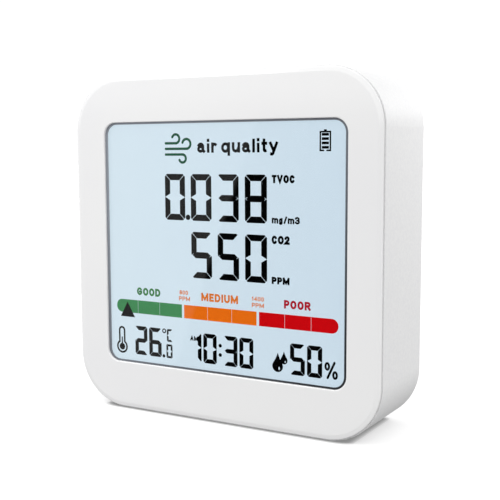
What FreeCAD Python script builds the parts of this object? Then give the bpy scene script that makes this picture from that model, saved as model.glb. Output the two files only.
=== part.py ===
import FreeCAD, Part
import math
import os

import Sketcher

# A free-standing air monitor, 82 x 82 x 24 mm.
#
# Frame: +Z up, the front faces -Y, +X is to the right of a person who reads the display.
# The origin is the middle of the bottom, so the front plane is at y = -case_depth / 2.
# Cells named *_front or *_back are depths behind that front plane.

CELLS = [
    # case
    ("case_width", 82), ("case_height", 82), ("case_depth", 24), ("case_corner", 13.2),
    ("case_front", 0.75), ("case_wall", 2), ("back_wall", 2), ("back_round", 0.6), ("rim_round", 0.2),
    # bezel plate: a thin lip in front of the case, a core and a skirt that slide into the case
    ("bezel_inset", 0.3), ("bezel_corner", 12.9), ("bezel_lip", 0.5), ("bezel_round", 0.25),
    ("bevel_wide", 1.1), ("bevel_deep", 0.2),
    ("bezel_thick", 1.65), ("skirt_gap", 0.2), ("skirt_wall", 1.2), ("skirt_back", 6),
    # window opening
    ("window_width", 64.8), ("window_height", 59), ("window_corner", 3.2), ("window_x", 0.3),
    ("window_z", 41.2), ("window_land", 0.55), ("window_round", 0.25), ("seat_gap", 0.2),
    ("trim_side", 0.7), ("trim_level", 0.45), ("trim_corner", 2.6), ("trim_thick", 0.1),
    # display stack, from the window to the tray
    ("lens_margin", 1.8), ("lens_thick", 0.8), ("lens_corner", 4.2), ("tape_thick", 0.15),
    ("tape_margin", 0.6), ("gasket_thick", 0.15), ("gasket_lap", 0.1),
    ("film_thick", 0.2), ("glass_thick", 0.7),
    ("glass_width", 68), ("glass_height", 61.3), ("glass_ledge", 0.7), ("film_margin", 0.5),
    ("guide_thick", 2), ("guide_gap", 1.6), ("reflector_thick", 0.15), ("sheet_margin", 0.2),
    ("tray_width", 70.4), ("tray_height", 62.8), ("tray_corner", 1.5), ("tray_floor", 0.8),
    ("tray_fit", 0.1),
    ("led_count", 5), ("led_pitch", 12), ("led_long", 3), ("led_deep", 1.0), ("led_thick", 1.4),
    ("strip_thick", 0.2),
    # ribbon from the glass to the board
    ("ribbon_width", 30), ("ribbon_thick", 0.12), ("ribbon_bend", 1.5), ("ribbon_low", 7),
    ("ribbon_start", 0.05), ("ribbon_slot", 0.3), ("ribbon_side", 0.5), ("connector_thick", 2),
    ("connector_high", 5), ("connector_z", 10.6), ("connector_wall", 1),
    # main board and the posts that carry it
    ("board_front", 13.9), ("board_thick", 1.2), ("board_width", 74), ("board_corner", 6),
    ("post_x", 20), ("post_low", 6.6), ("post_high", 75.6), ("post_radius", 2), ("post_pilot", 0.82),
    ("post_bore", 6), ("notch_radius", 3.2), ("board_hole", 1.1),
    # corner bosses and screws
    ("boss_x", 34), ("boss_low", 7), ("boss_high", 75), ("boss_meet", 13.5), ("bezel_boss", 2.1),
    ("case_boss", 2.8), ("boss_pilot", 1.02), ("boss_bore", 6), ("boss_clear", 1.15),
    ("counterbore", 2.1), ("head_seat", 17), ("head_radius", 1.8), ("head_high", 1.3),
    ("shank_radius", 1), ("shank_long", 9), ("cross_long", 2), ("cross_wide", 0.5), ("cross_deep", 0.7),
    ("board_head", 1.5), ("board_head_high", 1), ("board_shank", 0.8), ("board_shank_long", 5),
    # buttons and their switches
    ("button_z", 62), ("button_pitch", 12), ("button_radius", 3.8), ("button_gap", 0.2),
    ("button_top", 23.8), ("button_edge", 0.4), ("flange_radius", 4.6), ("flange_front", 21.1),
    ("flange_back", 21.9), ("stem_radius", 1.5), ("dish_width", 50), ("dish_height", 13),
    ("dish_deep", 0.9), ("switch_width", 6), ("switch_high", 3.1), ("switch_bore", 1.65),
    ("switch_corner", 0.4), ("switch_bore_deep", 1.1), ("plunger_radius", 1.6), ("plunger_front", 17.5),
    ("plunger_back", 19.1), ("leg_long", 8.4), ("leg_wide", 0.7), ("leg_thick", 0.2), ("leg_z", 2.25),
    # vents, sounder holes and label recess in the back wall
    ("vent_z", 24), ("vent_wide", 1.6), ("vent_high", 18), ("vent_pitch", 4), ("vent_count", 9),
    ("buzzer_x", 26), ("buzzer_z", 46), ("buzzer_radius", 4.5), ("buzzer_high", 4),
    ("buzzer_round", 0.3), ("buzzer_hole", 1), ("buzzer_hole_deep", 1), ("sound_hole", 0.6),
    ("sound_ring", 2.2), ("sound_count", 6),
    ("label_z", 44), ("label_width", 40), ("label_height", 13), ("label_corner", 1.5),
    ("label_deep", 0.3), ("label_gap", 0.3), ("label_thick", 0.12),
    ("mesh_width", 38), ("mesh_height", 22), ("mesh_corner", 1), ("mesh_thick", 0.15),
    # charging socket on the left side
    ("usb_z", 22), ("usb_wide", 8.94), ("usb_high", 3.26), ("usb_long", 7.3), ("usb_mouth_x", 38.8),
    ("usb_skin", 0.3), ("usb_tongue", 0.7), ("usb_tongue_wide", 6.7), ("usb_tongue_long", 4.6),
    ("usb_pocket", 6.2), ("usb_port_wide", 9.5), ("usb_port_high", 3.8), ("usb_recess_wide", 12.6),
    ("usb_recess_high", 7), ("usb_recess_deep", 1),
    # sensors and chips on the back of the board
    ("co_x", 11), ("co_z", 24), ("co_base", 10.1), ("co_base_thick", 0.8), ("co_lid", 9.4),
    ("co_high", 6.5), ("co_corner", 0.3), ("co_lid_corner", 1), ("co_lid_round", 0.4),
    ("co_port", 1.6), ("co_port_deep", 0.5), ("co_foam", 0.25), ("co_foam_wall", 1.6),
    ("co_foam_edge", 0.5), ("co_foam_corner", 0.6),
    ("tvoc_x", -3), ("tvoc_z", 24), ("tvoc_wide", 3.6), ("tvoc_high", 1.1), ("tvoc_port", 0.6),
    ("humid_x", -20), ("humid_z", 22), ("humid_wide", 2.5), ("humid_high", 0.9), ("humid_port", 0.45),
    ("slot_wide", 1.2), ("slot_long", 11), ("slot_offset", 5),
    ("chip_z", 43), ("chip_wide", 10), ("chip_high", 1.4), ("chip_corner", 0.3),
    ("chip_lift", 0.05), ("lead_span", 12),
    ("lead_wide", 0.3), ("lead_thick", 0.15), ("lead_pitch", 0.8), ("lead_count", 11),
    # cell, its tape, plug and leads
    ("cell_width", 46), ("cell_height", 40), ("cell_thick", 5.3), ("cell_z", 40), ("cell_corner", 1.6),
    ("cell_round", 1.4), ("pad_thick", 0.6), ("pad_width", 30), ("pad_height", 20),
    ("header_x", -24), ("header_z", 67), ("header_long", 6), ("header_wide", 7.6), ("header_high", 3.6),
    ("header_wall", 0.8), ("plug_fit", 0.1), ("plug_out", 1.4), ("lead_radius", 0.45),
    ("lead_spacing", 2), ("lead_first_x", -6.5), ("lead_bend", 2),
]

CORNERS = {
    "corner_left_low": ("-dim.boss_x", "dim.boss_low"),
    "corner_right_low": ("dim.boss_x", "dim.boss_low"),
    "corner_left_high": ("-dim.boss_x", "dim.boss_high"),
    "corner_right_high": ("dim.boss_x", "dim.boss_high"),
}

POSTS = {
    "post_left_low": ("-dim.post_x", "dim.post_low"),
    "post_right_low": ("dim.post_x", "dim.post_low"),
    "post_left_high": ("-dim.post_x", "dim.post_high"),
    "post_right_high": ("dim.post_x", "dim.post_high"),
}

BUTTONS = {"set": -1.5, "up": -0.5, "down": 0.5, "light": 1.5}

document = FreeCAD.newDocument("air_monitor")
sheet = document.addObject("Spreadsheet::Sheet", "dim")
nodes = []


# ---- expressions -----------------------------------------------------------------------------

def fill_sheet():
    for row, (alias, size) in enumerate(CELLS, start=1):
        sheet.set(f"A{row}", alias)
        sheet.set(f"B{row}", str(size))
        sheet.setAlias(f"B{row}", alias)
    document.recompute()


def number(expression):
    """The present value of an expression in the sheet's cells."""
    return float(sheet.evalExpression(expression))


def behind(depth):
    """Y of a plane at a depth behind the front plane."""
    return f"({depth}) - dim.case_depth / 2"


# depths of the layers of the display, each one behind the one before
TAPE_FRONT = "dim.window_land"
LENS_FRONT = f"{TAPE_FRONT} + dim.tape_thick"
GASKET_FRONT = f"{LENS_FRONT} + dim.lens_thick"
STACK_FRONT = f"{GASKET_FRONT} + dim.gasket_thick"
GLASS_FRONT = f"{STACK_FRONT} + dim.film_thick"
REAR_GLASS_FRONT = f"{GLASS_FRONT} + dim.glass_thick"
REAR_FILM_FRONT = f"{REAR_GLASS_FRONT} + dim.glass_thick"
DIFFUSER_FRONT = f"{REAR_FILM_FRONT} + dim.film_thick"
GUIDE_FRONT = f"{DIFFUSER_FRONT} + dim.film_thick"
REFLECTOR_FRONT = f"{GUIDE_FRONT} + dim.guide_thick"
TRAY_FLOOR = f"{REFLECTOR_FRONT} + dim.reflector_thick"
TRAY_BACK = f"{TRAY_FLOOR} + dim.tray_floor"
CELL_FRONT = f"{TRAY_BACK} + dim.pad_thick"
BOARD_BACK = "dim.board_front + dim.board_thick"
WALL_INSIDE = "dim.case_depth - dim.back_wall"
DISH_FLOOR = "dim.case_depth - dim.dish_deep"


# ---- sketches --------------------------------------------------------------------------------

def sketch_at(body, role, name, x="0", y="0", z="0"):
    """A sketch on one of the body's origin planes, moved by x, y, z in the sketch's own axes."""
    plane = next(item for item in body.Origin.OriginFeatures if item.Role == role)
    sketch = body.newObject("Sketcher::SketchObject", name)
    sketch.AttachmentSupport = [(plane, "")]
    sketch.MapMode = "FlatFace"
    for axis, expression in (("x", x), ("y", y), ("z", z)):
        if expression != "0":
            sketch.setExpression(f".AttachmentOffset.Base.{axis}", expression)
    return sketch


def face_sketch(body, name, depth, x="0", z="0"):
    """A sketch parallel to the front: its x is the object's X, its y is the object's Z."""
    return sketch_at(body, "XZ_Plane", name, x, z, f"dim.case_depth / 2 - ({depth})")


def size_constraint(sketch, kind, expression, *where):
    index = sketch.addConstraint(Sketcher.Constraint(kind, *where, number(expression)))
    sketch.setExpression(f"Constraints[{index}]", expression)


def pin_point(sketch, geometry, vertex, x, y):
    """Hold one vertex at x, y from the sketch's origin."""
    for kind, axis, expression in (("DistanceX", -2, x), ("DistanceY", -1, y)):
        if abs(number(expression)) < 1e-9:
            sketch.addConstraint(Sketcher.Constraint("PointOnObject", geometry, vertex, axis))
        else:
            size_constraint(sketch, kind, expression, -1, 1, geometry, vertex)


def add_line(sketch, start, end):
    line = Part.LineSegment(FreeCAD.Vector(*start, 0), FreeCAD.Vector(*end, 0))
    return sketch.addGeometry(line, False)


def add_arc(sketch, centre, radius, start_degrees, end_degrees):
    circle = Part.Circle(FreeCAD.Vector(*centre, 0), FreeCAD.Vector(0, 0, 1), radius)
    arc = Part.ArcOfCircle(circle, math.radians(start_degrees), math.radians(end_degrees))
    return sketch.addGeometry(arc, False)


def rounded_rectangle(sketch, width, height, corner):
    """A rectangle with round corners, centred on the sketch's origin."""
    half_w = number(width) / 2
    half_h = number(height) / 2
    radius = number(corner)
    flat_w = half_w - radius
    flat_h = half_h - radius
    lines = [
        add_line(sketch, (-flat_w, -half_h), (flat_w, -half_h)),
        add_line(sketch, (half_w, -flat_h), (half_w, flat_h)),
        add_line(sketch, (flat_w, half_h), (-flat_w, half_h)),
        add_line(sketch, (-half_w, flat_h), (-half_w, -flat_h)),
    ]
    arcs = [
        add_arc(sketch, (flat_w, -flat_h), radius, -90, 0),
        add_arc(sketch, (flat_w, flat_h), radius, 0, 90),
        add_arc(sketch, (-flat_w, flat_h), radius, 90, 180),
        add_arc(sketch, (-flat_w, -flat_h), radius, 180, 270),
    ]
    for index in range(4):
        following = lines[(index + 1) % 4]
        sketch.addConstraint(Sketcher.Constraint("Tangent", lines[index], 2, arcs[index], 1))
        sketch.addConstraint(Sketcher.Constraint("Tangent", arcs[index], 2, following, 1))
        direction = "Vertical" if index % 2 else "Horizontal"
        sketch.addConstraint(Sketcher.Constraint(direction, lines[index]))
    for arc in arcs[1:]:
        sketch.addConstraint(Sketcher.Constraint("Equal", arcs[0], arc))
    sketch.addConstraint(Sketcher.Constraint("Symmetric", lines[0], 1, lines[2], 1, -1, 1))
    size_constraint(sketch, "Radius", corner, arcs[0])
    size_constraint(sketch, "DistanceX", width, lines[3], 1, lines[1], 1)
    size_constraint(sketch, "DistanceY", height, lines[0], 1, lines[2], 2)


def stadium(sketch, long, wide, upright):
    """A slot with round ends, centred on the sketch's origin."""
    radius = number(wide) / 2
    reach = (number(long) - number(wide)) / 2
    if upright:
        first = add_arc(sketch, (0, -reach), radius, 180, 360)
        side = add_line(sketch, (radius, -reach), (radius, reach))
        last = add_arc(sketch, (0, reach), radius, 0, 180)
        other = add_line(sketch, (-radius, reach), (-radius, -reach))
    else:
        first = add_arc(sketch, (-reach, 0), radius, 90, 270)
        side = add_line(sketch, (-reach, -radius), (reach, -radius))
        last = add_arc(sketch, (reach, 0), radius, -90, 90)
        other = add_line(sketch, (reach, radius), (-reach, radius))
    for one, two in ((first, side), (side, last), (last, other), (other, first)):
        sketch.addConstraint(Sketcher.Constraint("Tangent", one, 2, two, 1))
    sketch.addConstraint(Sketcher.Constraint("Equal", first, last))
    sketch.addConstraint(Sketcher.Constraint("Symmetric", first, 3, last, 3, -1, 1))
    sketch.addConstraint(Sketcher.Constraint("PointOnObject", first, 3, -2 if upright else -1))
    size_constraint(sketch, "Radius", f"({wide}) / 2", first)
    kind = "DistanceY" if upright else "DistanceX"
    size_constraint(sketch, kind, f"({long}) - ({wide})", first, 3, last, 3)


def polygon(sketch, points):
    """A closed outline of straight lines through points, each a pair of expressions."""
    corners = [(number(x), number(y)) for x, y in points]
    lines = [add_line(sketch, corners[i], corners[(i + 1) % len(corners)]) for i in range(len(corners))]
    for index, line in enumerate(lines):
        following = lines[(index + 1) % len(lines)]
        sketch.addConstraint(Sketcher.Constraint("Coincident", line, 2, following, 1))
        pin_point(sketch, line, 1, *points[index])


def rectangle(sketch, width, height):
    """A plain rectangle centred on the sketch's origin."""
    x = f"({width}) / 2"
    y = f"({height}) / 2"
    polygon(sketch, [(f"-{x}", f"-{y}"), (x, f"-{y}"), (x, y), (f"-{x}", y)])


def circles(sketch, radius, centres):
    """Equal circles at a list of centres, each a pair of expressions."""
    first = None
    for x, y in centres:
        centre = FreeCAD.Vector(number(x), number(y), 0)
        circle = sketch.addGeometry(Part.Circle(centre, FreeCAD.Vector(0, 0, 1), number(radius)), False)
        pin_point(sketch, circle, 3, x, y)
        if first is None:
            first = circle
            size_constraint(sketch, "Radius", radius, circle)
        else:
            sketch.addConstraint(Sketcher.Constraint("Equal", first, circle))


# ---- features --------------------------------------------------------------------------------

def new_body(label):
    body = document.addObject("PartDesign::Body", label)
    body.Label = label
    return body


def keep(item):
    """Count an object as a node of the finished part."""
    nodes.append(item)
    return item


def pad(body, sketch, length, backwards=True):
    """Grow a sketch. A sketch parallel to the front grows away from the front."""
    feature = body.newObject("PartDesign::Pad", f"{sketch.Name}_pad")
    feature.Profile = sketch
    feature.Reversed = backwards
    feature.setExpression("Length", length)
    return feature


def pocket(body, sketch, depth, reversed_cut=False):
    """Cut a sketch. A sketch parallel to the front cuts away from the front."""
    feature = body.newObject("PartDesign::Pocket", f"{sketch.Name}_pocket")
    feature.Profile = sketch
    feature.Reversed = reversed_cut
    feature.setExpression("Length", depth)
    return feature


def round_edges(body, name, radius, wanted):
    """Fillet the edges of the body's tip whose bounding box satisfies wanted."""
    document.recompute()
    base = body.Tip
    names = [f"Edge{i}" for i, edge in enumerate(base.Shape.Edges, start=1) if wanted(edge.BoundBox)]
    feature = body.newObject("PartDesign::Fillet", name)
    feature.Base = (base, names)
    feature.setExpression("Radius", radius)
    return feature


def slope_edges(body, name, across, deep, wanted):
    """A shallow bevel, across the face and deep into the side, on the edges that satisfy wanted."""
    document.recompute()
    base = body.Tip
    names = [f"Edge{i}" for i, edge in enumerate(base.Shape.Edges, start=1) if wanted(edge.BoundBox)]
    feature = body.newObject("PartDesign::Chamfer", name)
    feature.Base = (base, names)
    feature.ChamferType = "Two distances"
    feature.FlipDirection = True
    feature.setExpression("Size", across)
    feature.setExpression("Size2", deep)
    return feature


def on_plane(box, depth):
    """True for an edge that lies in a plane parallel to the front."""
    y = number(behind(depth))
    return abs(box.YMin - y) < 1e-4 and abs(box.YMax - y) < 1e-4


def reaches(box, half_width):
    """True for an edge of an outline that runs out to a half width or to its top or bottom."""
    middle = number("dim.case_height / 2")
    far_x = max(abs(box.XMin), abs(box.XMax))
    far_z = max(abs(box.ZMin - middle), abs(box.ZMax - middle))
    return max(far_x, far_z) > half_width - 0.01


def plate(label, width, height, corner, front, thick, x="0", z="dim.window_z"):
    """A flat sheet with round corners, parallel to the front."""
    body = new_body(label)
    sketch = face_sketch(body, f"{label}_outline", front, x, z)
    rounded_rectangle(sketch, width, height, corner)
    pad(body, sketch, thick)
    return body


def ring(label, outer, inner, front, thick, x="0", z="dim.window_z"):
    """A flat frame: outer and inner are each width, height and corner."""
    body = new_body(label)
    sketch = face_sketch(body, f"{label}_outline", front, x, z)
    rounded_rectangle(sketch, *outer)
    rounded_rectangle(sketch, *inner)
    pad(body, sketch, thick)
    return body


def block(label, width, depth, height, x, front, z):
    """A plain box: x and z are its low corner, front is the depth of its front face."""
    box = document.addObject("Part::Box", label)
    box.Label = label
    box.setExpression("Length", width)
    box.setExpression("Width", depth)
    box.setExpression("Height", height)
    box.setExpression("Placement.Base.x", x)
    box.setExpression("Placement.Base.y", behind(front))
    box.setExpression("Placement.Base.z", z)
    return box


def group(label, members):
    """Several separate solids that share one node."""
    compound = document.addObject("Part::Compound", label)
    compound.Label = label
    compound.Links = members
    return compound


# ---- bezel and window ------------------------------------------------------------------------

def make_front_bezel():
    body = new_body("front_bezel")
    outline = face_sketch(body, "bezel_outline", "0", z="dim.case_height / 2")
    plate_width = "dim.case_width - 2 * dim.bezel_inset"
    plate_height = "dim.case_height - 2 * dim.bezel_inset"
    rounded_rectangle(outline, plate_width, plate_height, "dim.bezel_corner")
    pad(body, outline, "dim.bezel_lip")

    outer = "2 * (dim.case_wall + dim.skirt_gap)"
    inner = "2 * (dim.case_wall + dim.skirt_gap + dim.skirt_wall)"
    core_shape = (f"dim.case_width - {outer}", f"dim.case_height - {outer}",
                  "dim.case_corner - dim.case_wall - dim.skirt_gap")
    core = face_sketch(body, "bezel_core", "dim.bezel_lip", z="dim.case_height / 2")
    rounded_rectangle(core, *core_shape)
    pad(body, core, "dim.bezel_thick - dim.bezel_lip")
    skirt = face_sketch(body, "bezel_skirt", "dim.bezel_thick", z="dim.case_height / 2")
    rounded_rectangle(skirt, *core_shape)
    rounded_rectangle(skirt, f"dim.case_width - {inner}", f"dim.case_height - {inner}",
                      "dim.case_corner - dim.case_wall - dim.skirt_gap - dim.skirt_wall")
    pad(body, skirt, "dim.skirt_back - dim.bezel_thick")

    bosses = face_sketch(body, "bezel_bosses", "dim.bezel_thick")
    circles(bosses, "dim.bezel_boss", CORNERS.values())
    pad(body, bosses, "dim.boss_meet - dim.bezel_thick")
    posts = face_sketch(body, "bezel_posts", "dim.bezel_thick")
    circles(posts, "dim.post_radius", POSTS.values())
    pad(body, posts, "dim.board_front - dim.bezel_thick")

    boss_bores = face_sketch(body, "boss_bores", "dim.boss_meet - dim.boss_bore")
    circles(boss_bores, "dim.boss_pilot", CORNERS.values())
    pocket(body, boss_bores, "dim.boss_bore")
    post_bores = face_sketch(body, "post_bores", "dim.board_front - dim.post_bore")
    circles(post_bores, "dim.post_pilot", POSTS.values())
    pocket(body, post_bores, "dim.post_bore")

    window = face_sketch(body, "bezel_window", "0", "dim.window_x", "dim.window_z")
    rounded_rectangle(window, "dim.window_width", "dim.window_height", "dim.window_corner")
    pocket(body, window, "dim.bezel_thick")
    seat = face_sketch(body, "window_seat", "dim.window_land", z="dim.window_z")
    room = "2 * (dim.lens_margin + dim.seat_gap)"
    rounded_rectangle(seat, f"dim.window_width + {room}", f"dim.window_height + {room}",
                      "dim.lens_corner + dim.seat_gap")
    pocket(body, seat, "dim.bezel_thick - dim.window_land")

    half_plate = number(plate_width) / 2
    slope_edges(body, "bezel_bevel", "dim.bevel_wide", "dim.bevel_deep",
                lambda box: on_plane(box, "0") and reaches(box, half_plate))
    round_edges(body, "bezel_edge", "dim.bezel_round",
                lambda box: on_plane(box, "dim.bevel_deep") and reaches(box, half_plate))
    face_edge = half_plate - number("dim.bevel_wide")
    round_edges(body, "window_edge", "dim.window_round",
                lambda box: on_plane(box, "0") and not reaches(box, face_edge))
    return keep(body)


def make_window():
    lens_width = "dim.window_width + 2 * dim.lens_margin"
    lens_height = "dim.window_height + 2 * dim.lens_margin"
    opening_width = "dim.window_width + 2 * dim.tape_margin"
    opening_height = "dim.window_height + 2 * dim.tape_margin"
    keep(ring("window_trim", ("dim.window_width", "dim.window_height", "dim.window_corner"),
              ("dim.window_width - 2 * dim.trim_side", "dim.window_height - 2 * dim.trim_level",
               "dim.trim_corner"), f"{LENS_FRONT} - dim.trim_thick", "dim.trim_thick", "dim.window_x"))
    keep(ring("window_adhesive", (lens_width, lens_height, "dim.lens_corner"),
              (opening_width, opening_height, "dim.window_corner + dim.tape_margin"),
              TAPE_FRONT, "dim.tape_thick"))
    keep(plate("display_window", lens_width, lens_height, "dim.lens_corner",
               LENS_FRONT, "dim.lens_thick"))
    view_width = "dim.window_width - 2 * dim.gasket_lap"
    view_height = "dim.window_height - 2 * dim.gasket_lap"
    keep(ring("lcd_gasket", (lens_width, lens_height, "dim.lens_corner"),
              (view_width, view_height, "dim.window_corner - dim.gasket_lap"),
              GASKET_FRONT, "dim.gasket_thick"))


# ---- display ---------------------------------------------------------------------------------

def layer(label, width, height, front, thick, lift="0"):
    """One rectangular layer of the display, centred on the window."""
    return block(label, width, thick, height, f"-({width}) / 2", front,
                 f"dim.window_z - ({height}) / 2 + {lift}")


def make_display_layers():
    film_width = "dim.glass_width - 2 * dim.film_margin"
    film_height = "dim.glass_height - 2 * dim.film_margin"
    sheet_width = "dim.glass_width - 2 * dim.sheet_margin"
    sheet_height = "dim.glass_height - 2 * dim.sheet_margin"
    keep(layer("front_polariser", film_width, "dim.glass_height - 2 * dim.glass_ledge",
               STACK_FRONT, "dim.film_thick"))
    keep(layer("lcd_front_glass", "dim.glass_width", "dim.glass_height - dim.glass_ledge",
               GLASS_FRONT, "dim.glass_thick", "dim.glass_ledge / 2"))
    keep(layer("lcd_rear_glass", "dim.glass_width", "dim.glass_height", REAR_GLASS_FRONT,
               "dim.glass_thick"))
    keep(layer("rear_polariser", film_width, film_height, REAR_FILM_FRONT, "dim.film_thick"))
    keep(layer("diffuser_sheet", sheet_width, sheet_height, DIFFUSER_FRONT, "dim.film_thick"))
    keep(layer("reflector_sheet", sheet_width, sheet_height, REFLECTOR_FRONT, "dim.reflector_thick"))


def make_light_guide():
    """Clear plate that ends short of the left side, where the lamps are."""
    width = "dim.glass_width - 2 * dim.sheet_margin - dim.guide_gap"
    height = "dim.glass_height - 2 * dim.sheet_margin"
    low_x = "-dim.glass_width / 2 + dim.sheet_margin + dim.guide_gap"
    keep(block("light_guide", width, "dim.guide_thick", height, low_x, GUIDE_FRONT,
               f"dim.window_z - ({height}) / 2"))


def make_backlight():
    """A flexible strip on the left wall of the tray, with a row of side-lit lamps."""
    strip_high = "(dim.led_count - 1) * dim.led_pitch + 2 * dim.led_long"
    strip_x = "-dim.glass_width / 2"
    keep(block("led_strip", "dim.strip_thick", "dim.guide_thick", strip_high, strip_x, GUIDE_FRONT,
               f"dim.window_z - ({strip_high}) / 2"))
    lamps = []
    for index in range(int(number("dim.led_count"))):
        centre_z = f"dim.window_z + ({index} - (dim.led_count - 1) / 2) * dim.led_pitch"
        centre_depth = f"{GUIDE_FRONT} + (dim.guide_thick - dim.led_thick) / 2"
        lamps.append(block(f"lamp_{index + 1}", "dim.led_deep", "dim.led_thick", "dim.led_long",
                           f"{strip_x} + dim.strip_thick", centre_depth,
                           f"{centre_z} - dim.led_long / 2"))
    keep(group("backlight_leds", lamps))


def make_display_frame():
    """Tray that holds the display's layers, with a slot in its bottom wall for the ribbon."""
    body = new_body("display_frame")
    outline = face_sketch(body, "tray_outline", STACK_FRONT, z="dim.window_z")
    rounded_rectangle(outline, "dim.tray_width", "dim.tray_height", "dim.tray_corner")
    pad(body, outline, f"{TRAY_BACK} - ({STACK_FRONT})")
    inside = face_sketch(body, "tray_inside", STACK_FRONT, z="dim.window_z")
    rectangle(inside, "dim.glass_width + 2 * dim.tray_fit", "dim.glass_height + 2 * dim.tray_fit")
    pocket(body, inside, f"{TRAY_FLOOR} - ({STACK_FRONT})")
    slot = face_sketch(body, "tray_slot", STACK_FRONT, z="dim.window_z - dim.tray_height / 2")
    rectangle(slot, "dim.ribbon_width + 2 * dim.ribbon_side",
              "3 * (dim.tray_height - dim.glass_height) / 2")
    pocket(body, slot, f"{REAR_GLASS_FRONT} - ({STACK_FRONT}) + dim.tray_fit")
    keep(body)


def make_lcd_ribbon():
    """Printed ribbon: down from the ledge of the rear glass, back under the tray, up to the board."""
    body = new_body("lcd_ribbon")
    path = sketch_at(body, "YZ_Plane", "ribbon_path")
    front_y = behind(f"{REAR_GLASS_FRONT} - dim.ribbon_thick / 2")
    back_y = behind("dim.board_front - dim.connector_thick / 2")
    top_z = "dim.window_z - dim.glass_height / 2 + dim.glass_ledge - dim.ribbon_start"
    end_z = "dim.connector_z + dim.connector_high / 2"
    bend = number("dim.ribbon_bend")
    left = number(front_y)
    right = number(back_y)
    low = number("dim.ribbon_low")
    down = add_line(path, (left, number(top_z)), (left, low + bend))
    first = add_arc(path, (left + bend, low + bend), bend, 180, 270)
    across = add_line(path, (left + bend, low), (right - bend, low))
    second = add_arc(path, (right - bend, low + bend), bend, 270, 360)
    rise = add_line(path, (right, low + bend), (right, number(end_z)))
    path.addConstraint(Sketcher.Constraint("Tangent", down, 2, first, 1))
    path.addConstraint(Sketcher.Constraint("Tangent", first, 2, across, 1))
    path.addConstraint(Sketcher.Constraint("Tangent", across, 2, second, 1))
    path.addConstraint(Sketcher.Constraint("Tangent", second, 2, rise, 1))
    path.addConstraint(Sketcher.Constraint("Vertical", down))
    path.addConstraint(Sketcher.Constraint("Horizontal", across))
    path.addConstraint(Sketcher.Constraint("Vertical", rise))
    path.addConstraint(Sketcher.Constraint("Equal", first, second))
    size_constraint(path, "Radius", "dim.ribbon_bend", first)
    pin_point(path, down, 1, front_y, top_z)
    pin_point(path, rise, 2, back_y, end_z)
    size_constraint(path, "DistanceY", "dim.ribbon_low", -1, 1, across, 1)

    section = sketch_at(body, "XY_Plane", "ribbon_section", "0", front_y, top_z)
    rectangle(section, "dim.ribbon_width", "dim.ribbon_thick")
    sweep = body.newObject("PartDesign::AdditivePipe", "ribbon_sweep")
    sweep.Profile = section
    sweep.Spine = (path, [f"Edge{i}" for i in range(1, 6)])
    keep(body)


def make_ribbon_connector():
    """Low connector on the front of the board, open at the bottom for the ribbon."""
    body = new_body("ribbon_connector")
    width = "dim.ribbon_width + 2 * dim.connector_wall"
    outline = sketch_at(body, "YZ_Plane", "connector_outline", z=f"-({width}) / 2")
    front_y = behind("dim.board_front - dim.connector_thick")
    back_y = behind("dim.board_front")
    middle = "dim.board_front - dim.connector_thick / 2"
    slot_front = behind(f"{middle} - dim.ribbon_slot / 2")
    slot_back = behind(f"{middle} + dim.ribbon_slot / 2")
    top = "dim.connector_z + dim.connector_high"
    slot_top = "dim.connector_z + dim.connector_high / 2 + dim.ribbon_slot"
    polygon(outline, [
        (front_y, "dim.connector_z"), (slot_front, "dim.connector_z"), (slot_front, slot_top),
        (slot_back, slot_top), (slot_back, "dim.connector_z"), (back_y, "dim.connector_z"),
        (back_y, top), (front_y, top),
    ])
    pad(body, outline, width, backwards=False)
    keep(body)


# ---- board and what stands on it -------------------------------------------------------------

def make_main_board():
    body = new_body("main_board")
    outline = face_sketch(body, "board_outline", "dim.board_front", z="dim.case_height / 2")
    rounded_rectangle(outline, "dim.board_width", "dim.board_width", "dim.board_corner")
    pad(body, outline, "dim.board_thick")
    notches = face_sketch(body, "board_notches", "dim.board_front")
    circles(notches, "dim.notch_radius", CORNERS.values())
    pocket(body, notches, "dim.board_thick")
    holes = face_sketch(body, "board_holes", "dim.board_front")
    circles(holes, "dim.board_hole", POSTS.values())
    pocket(body, holes, "dim.board_thick")
    for side in (-1, 1):
        name = "humid_slot_left" if side < 0 else "humid_slot_right"
        x = f"dim.humid_x + {side} * dim.slot_offset"
        slot = face_sketch(body, name, "dim.board_front", x, "dim.humid_z")
        stadium(slot, "dim.slot_long", "dim.slot_wide", upright=True)
        pocket(body, slot, "dim.board_thick")
    keep(body)


def make_packaged_sensor(label, wide, high, port, x, z):
    """A small square package with a round air hole in its lid."""
    body = plate(label, wide, wide, f"{wide} / 12", BOARD_BACK, high, x, z)
    hole = face_sketch(body, f"{label}_port", f"{BOARD_BACK} + {high} / 2", x, z)
    circles(hole, port, [("0", "0")])
    pocket(body, hole, high)
    keep(body)


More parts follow.
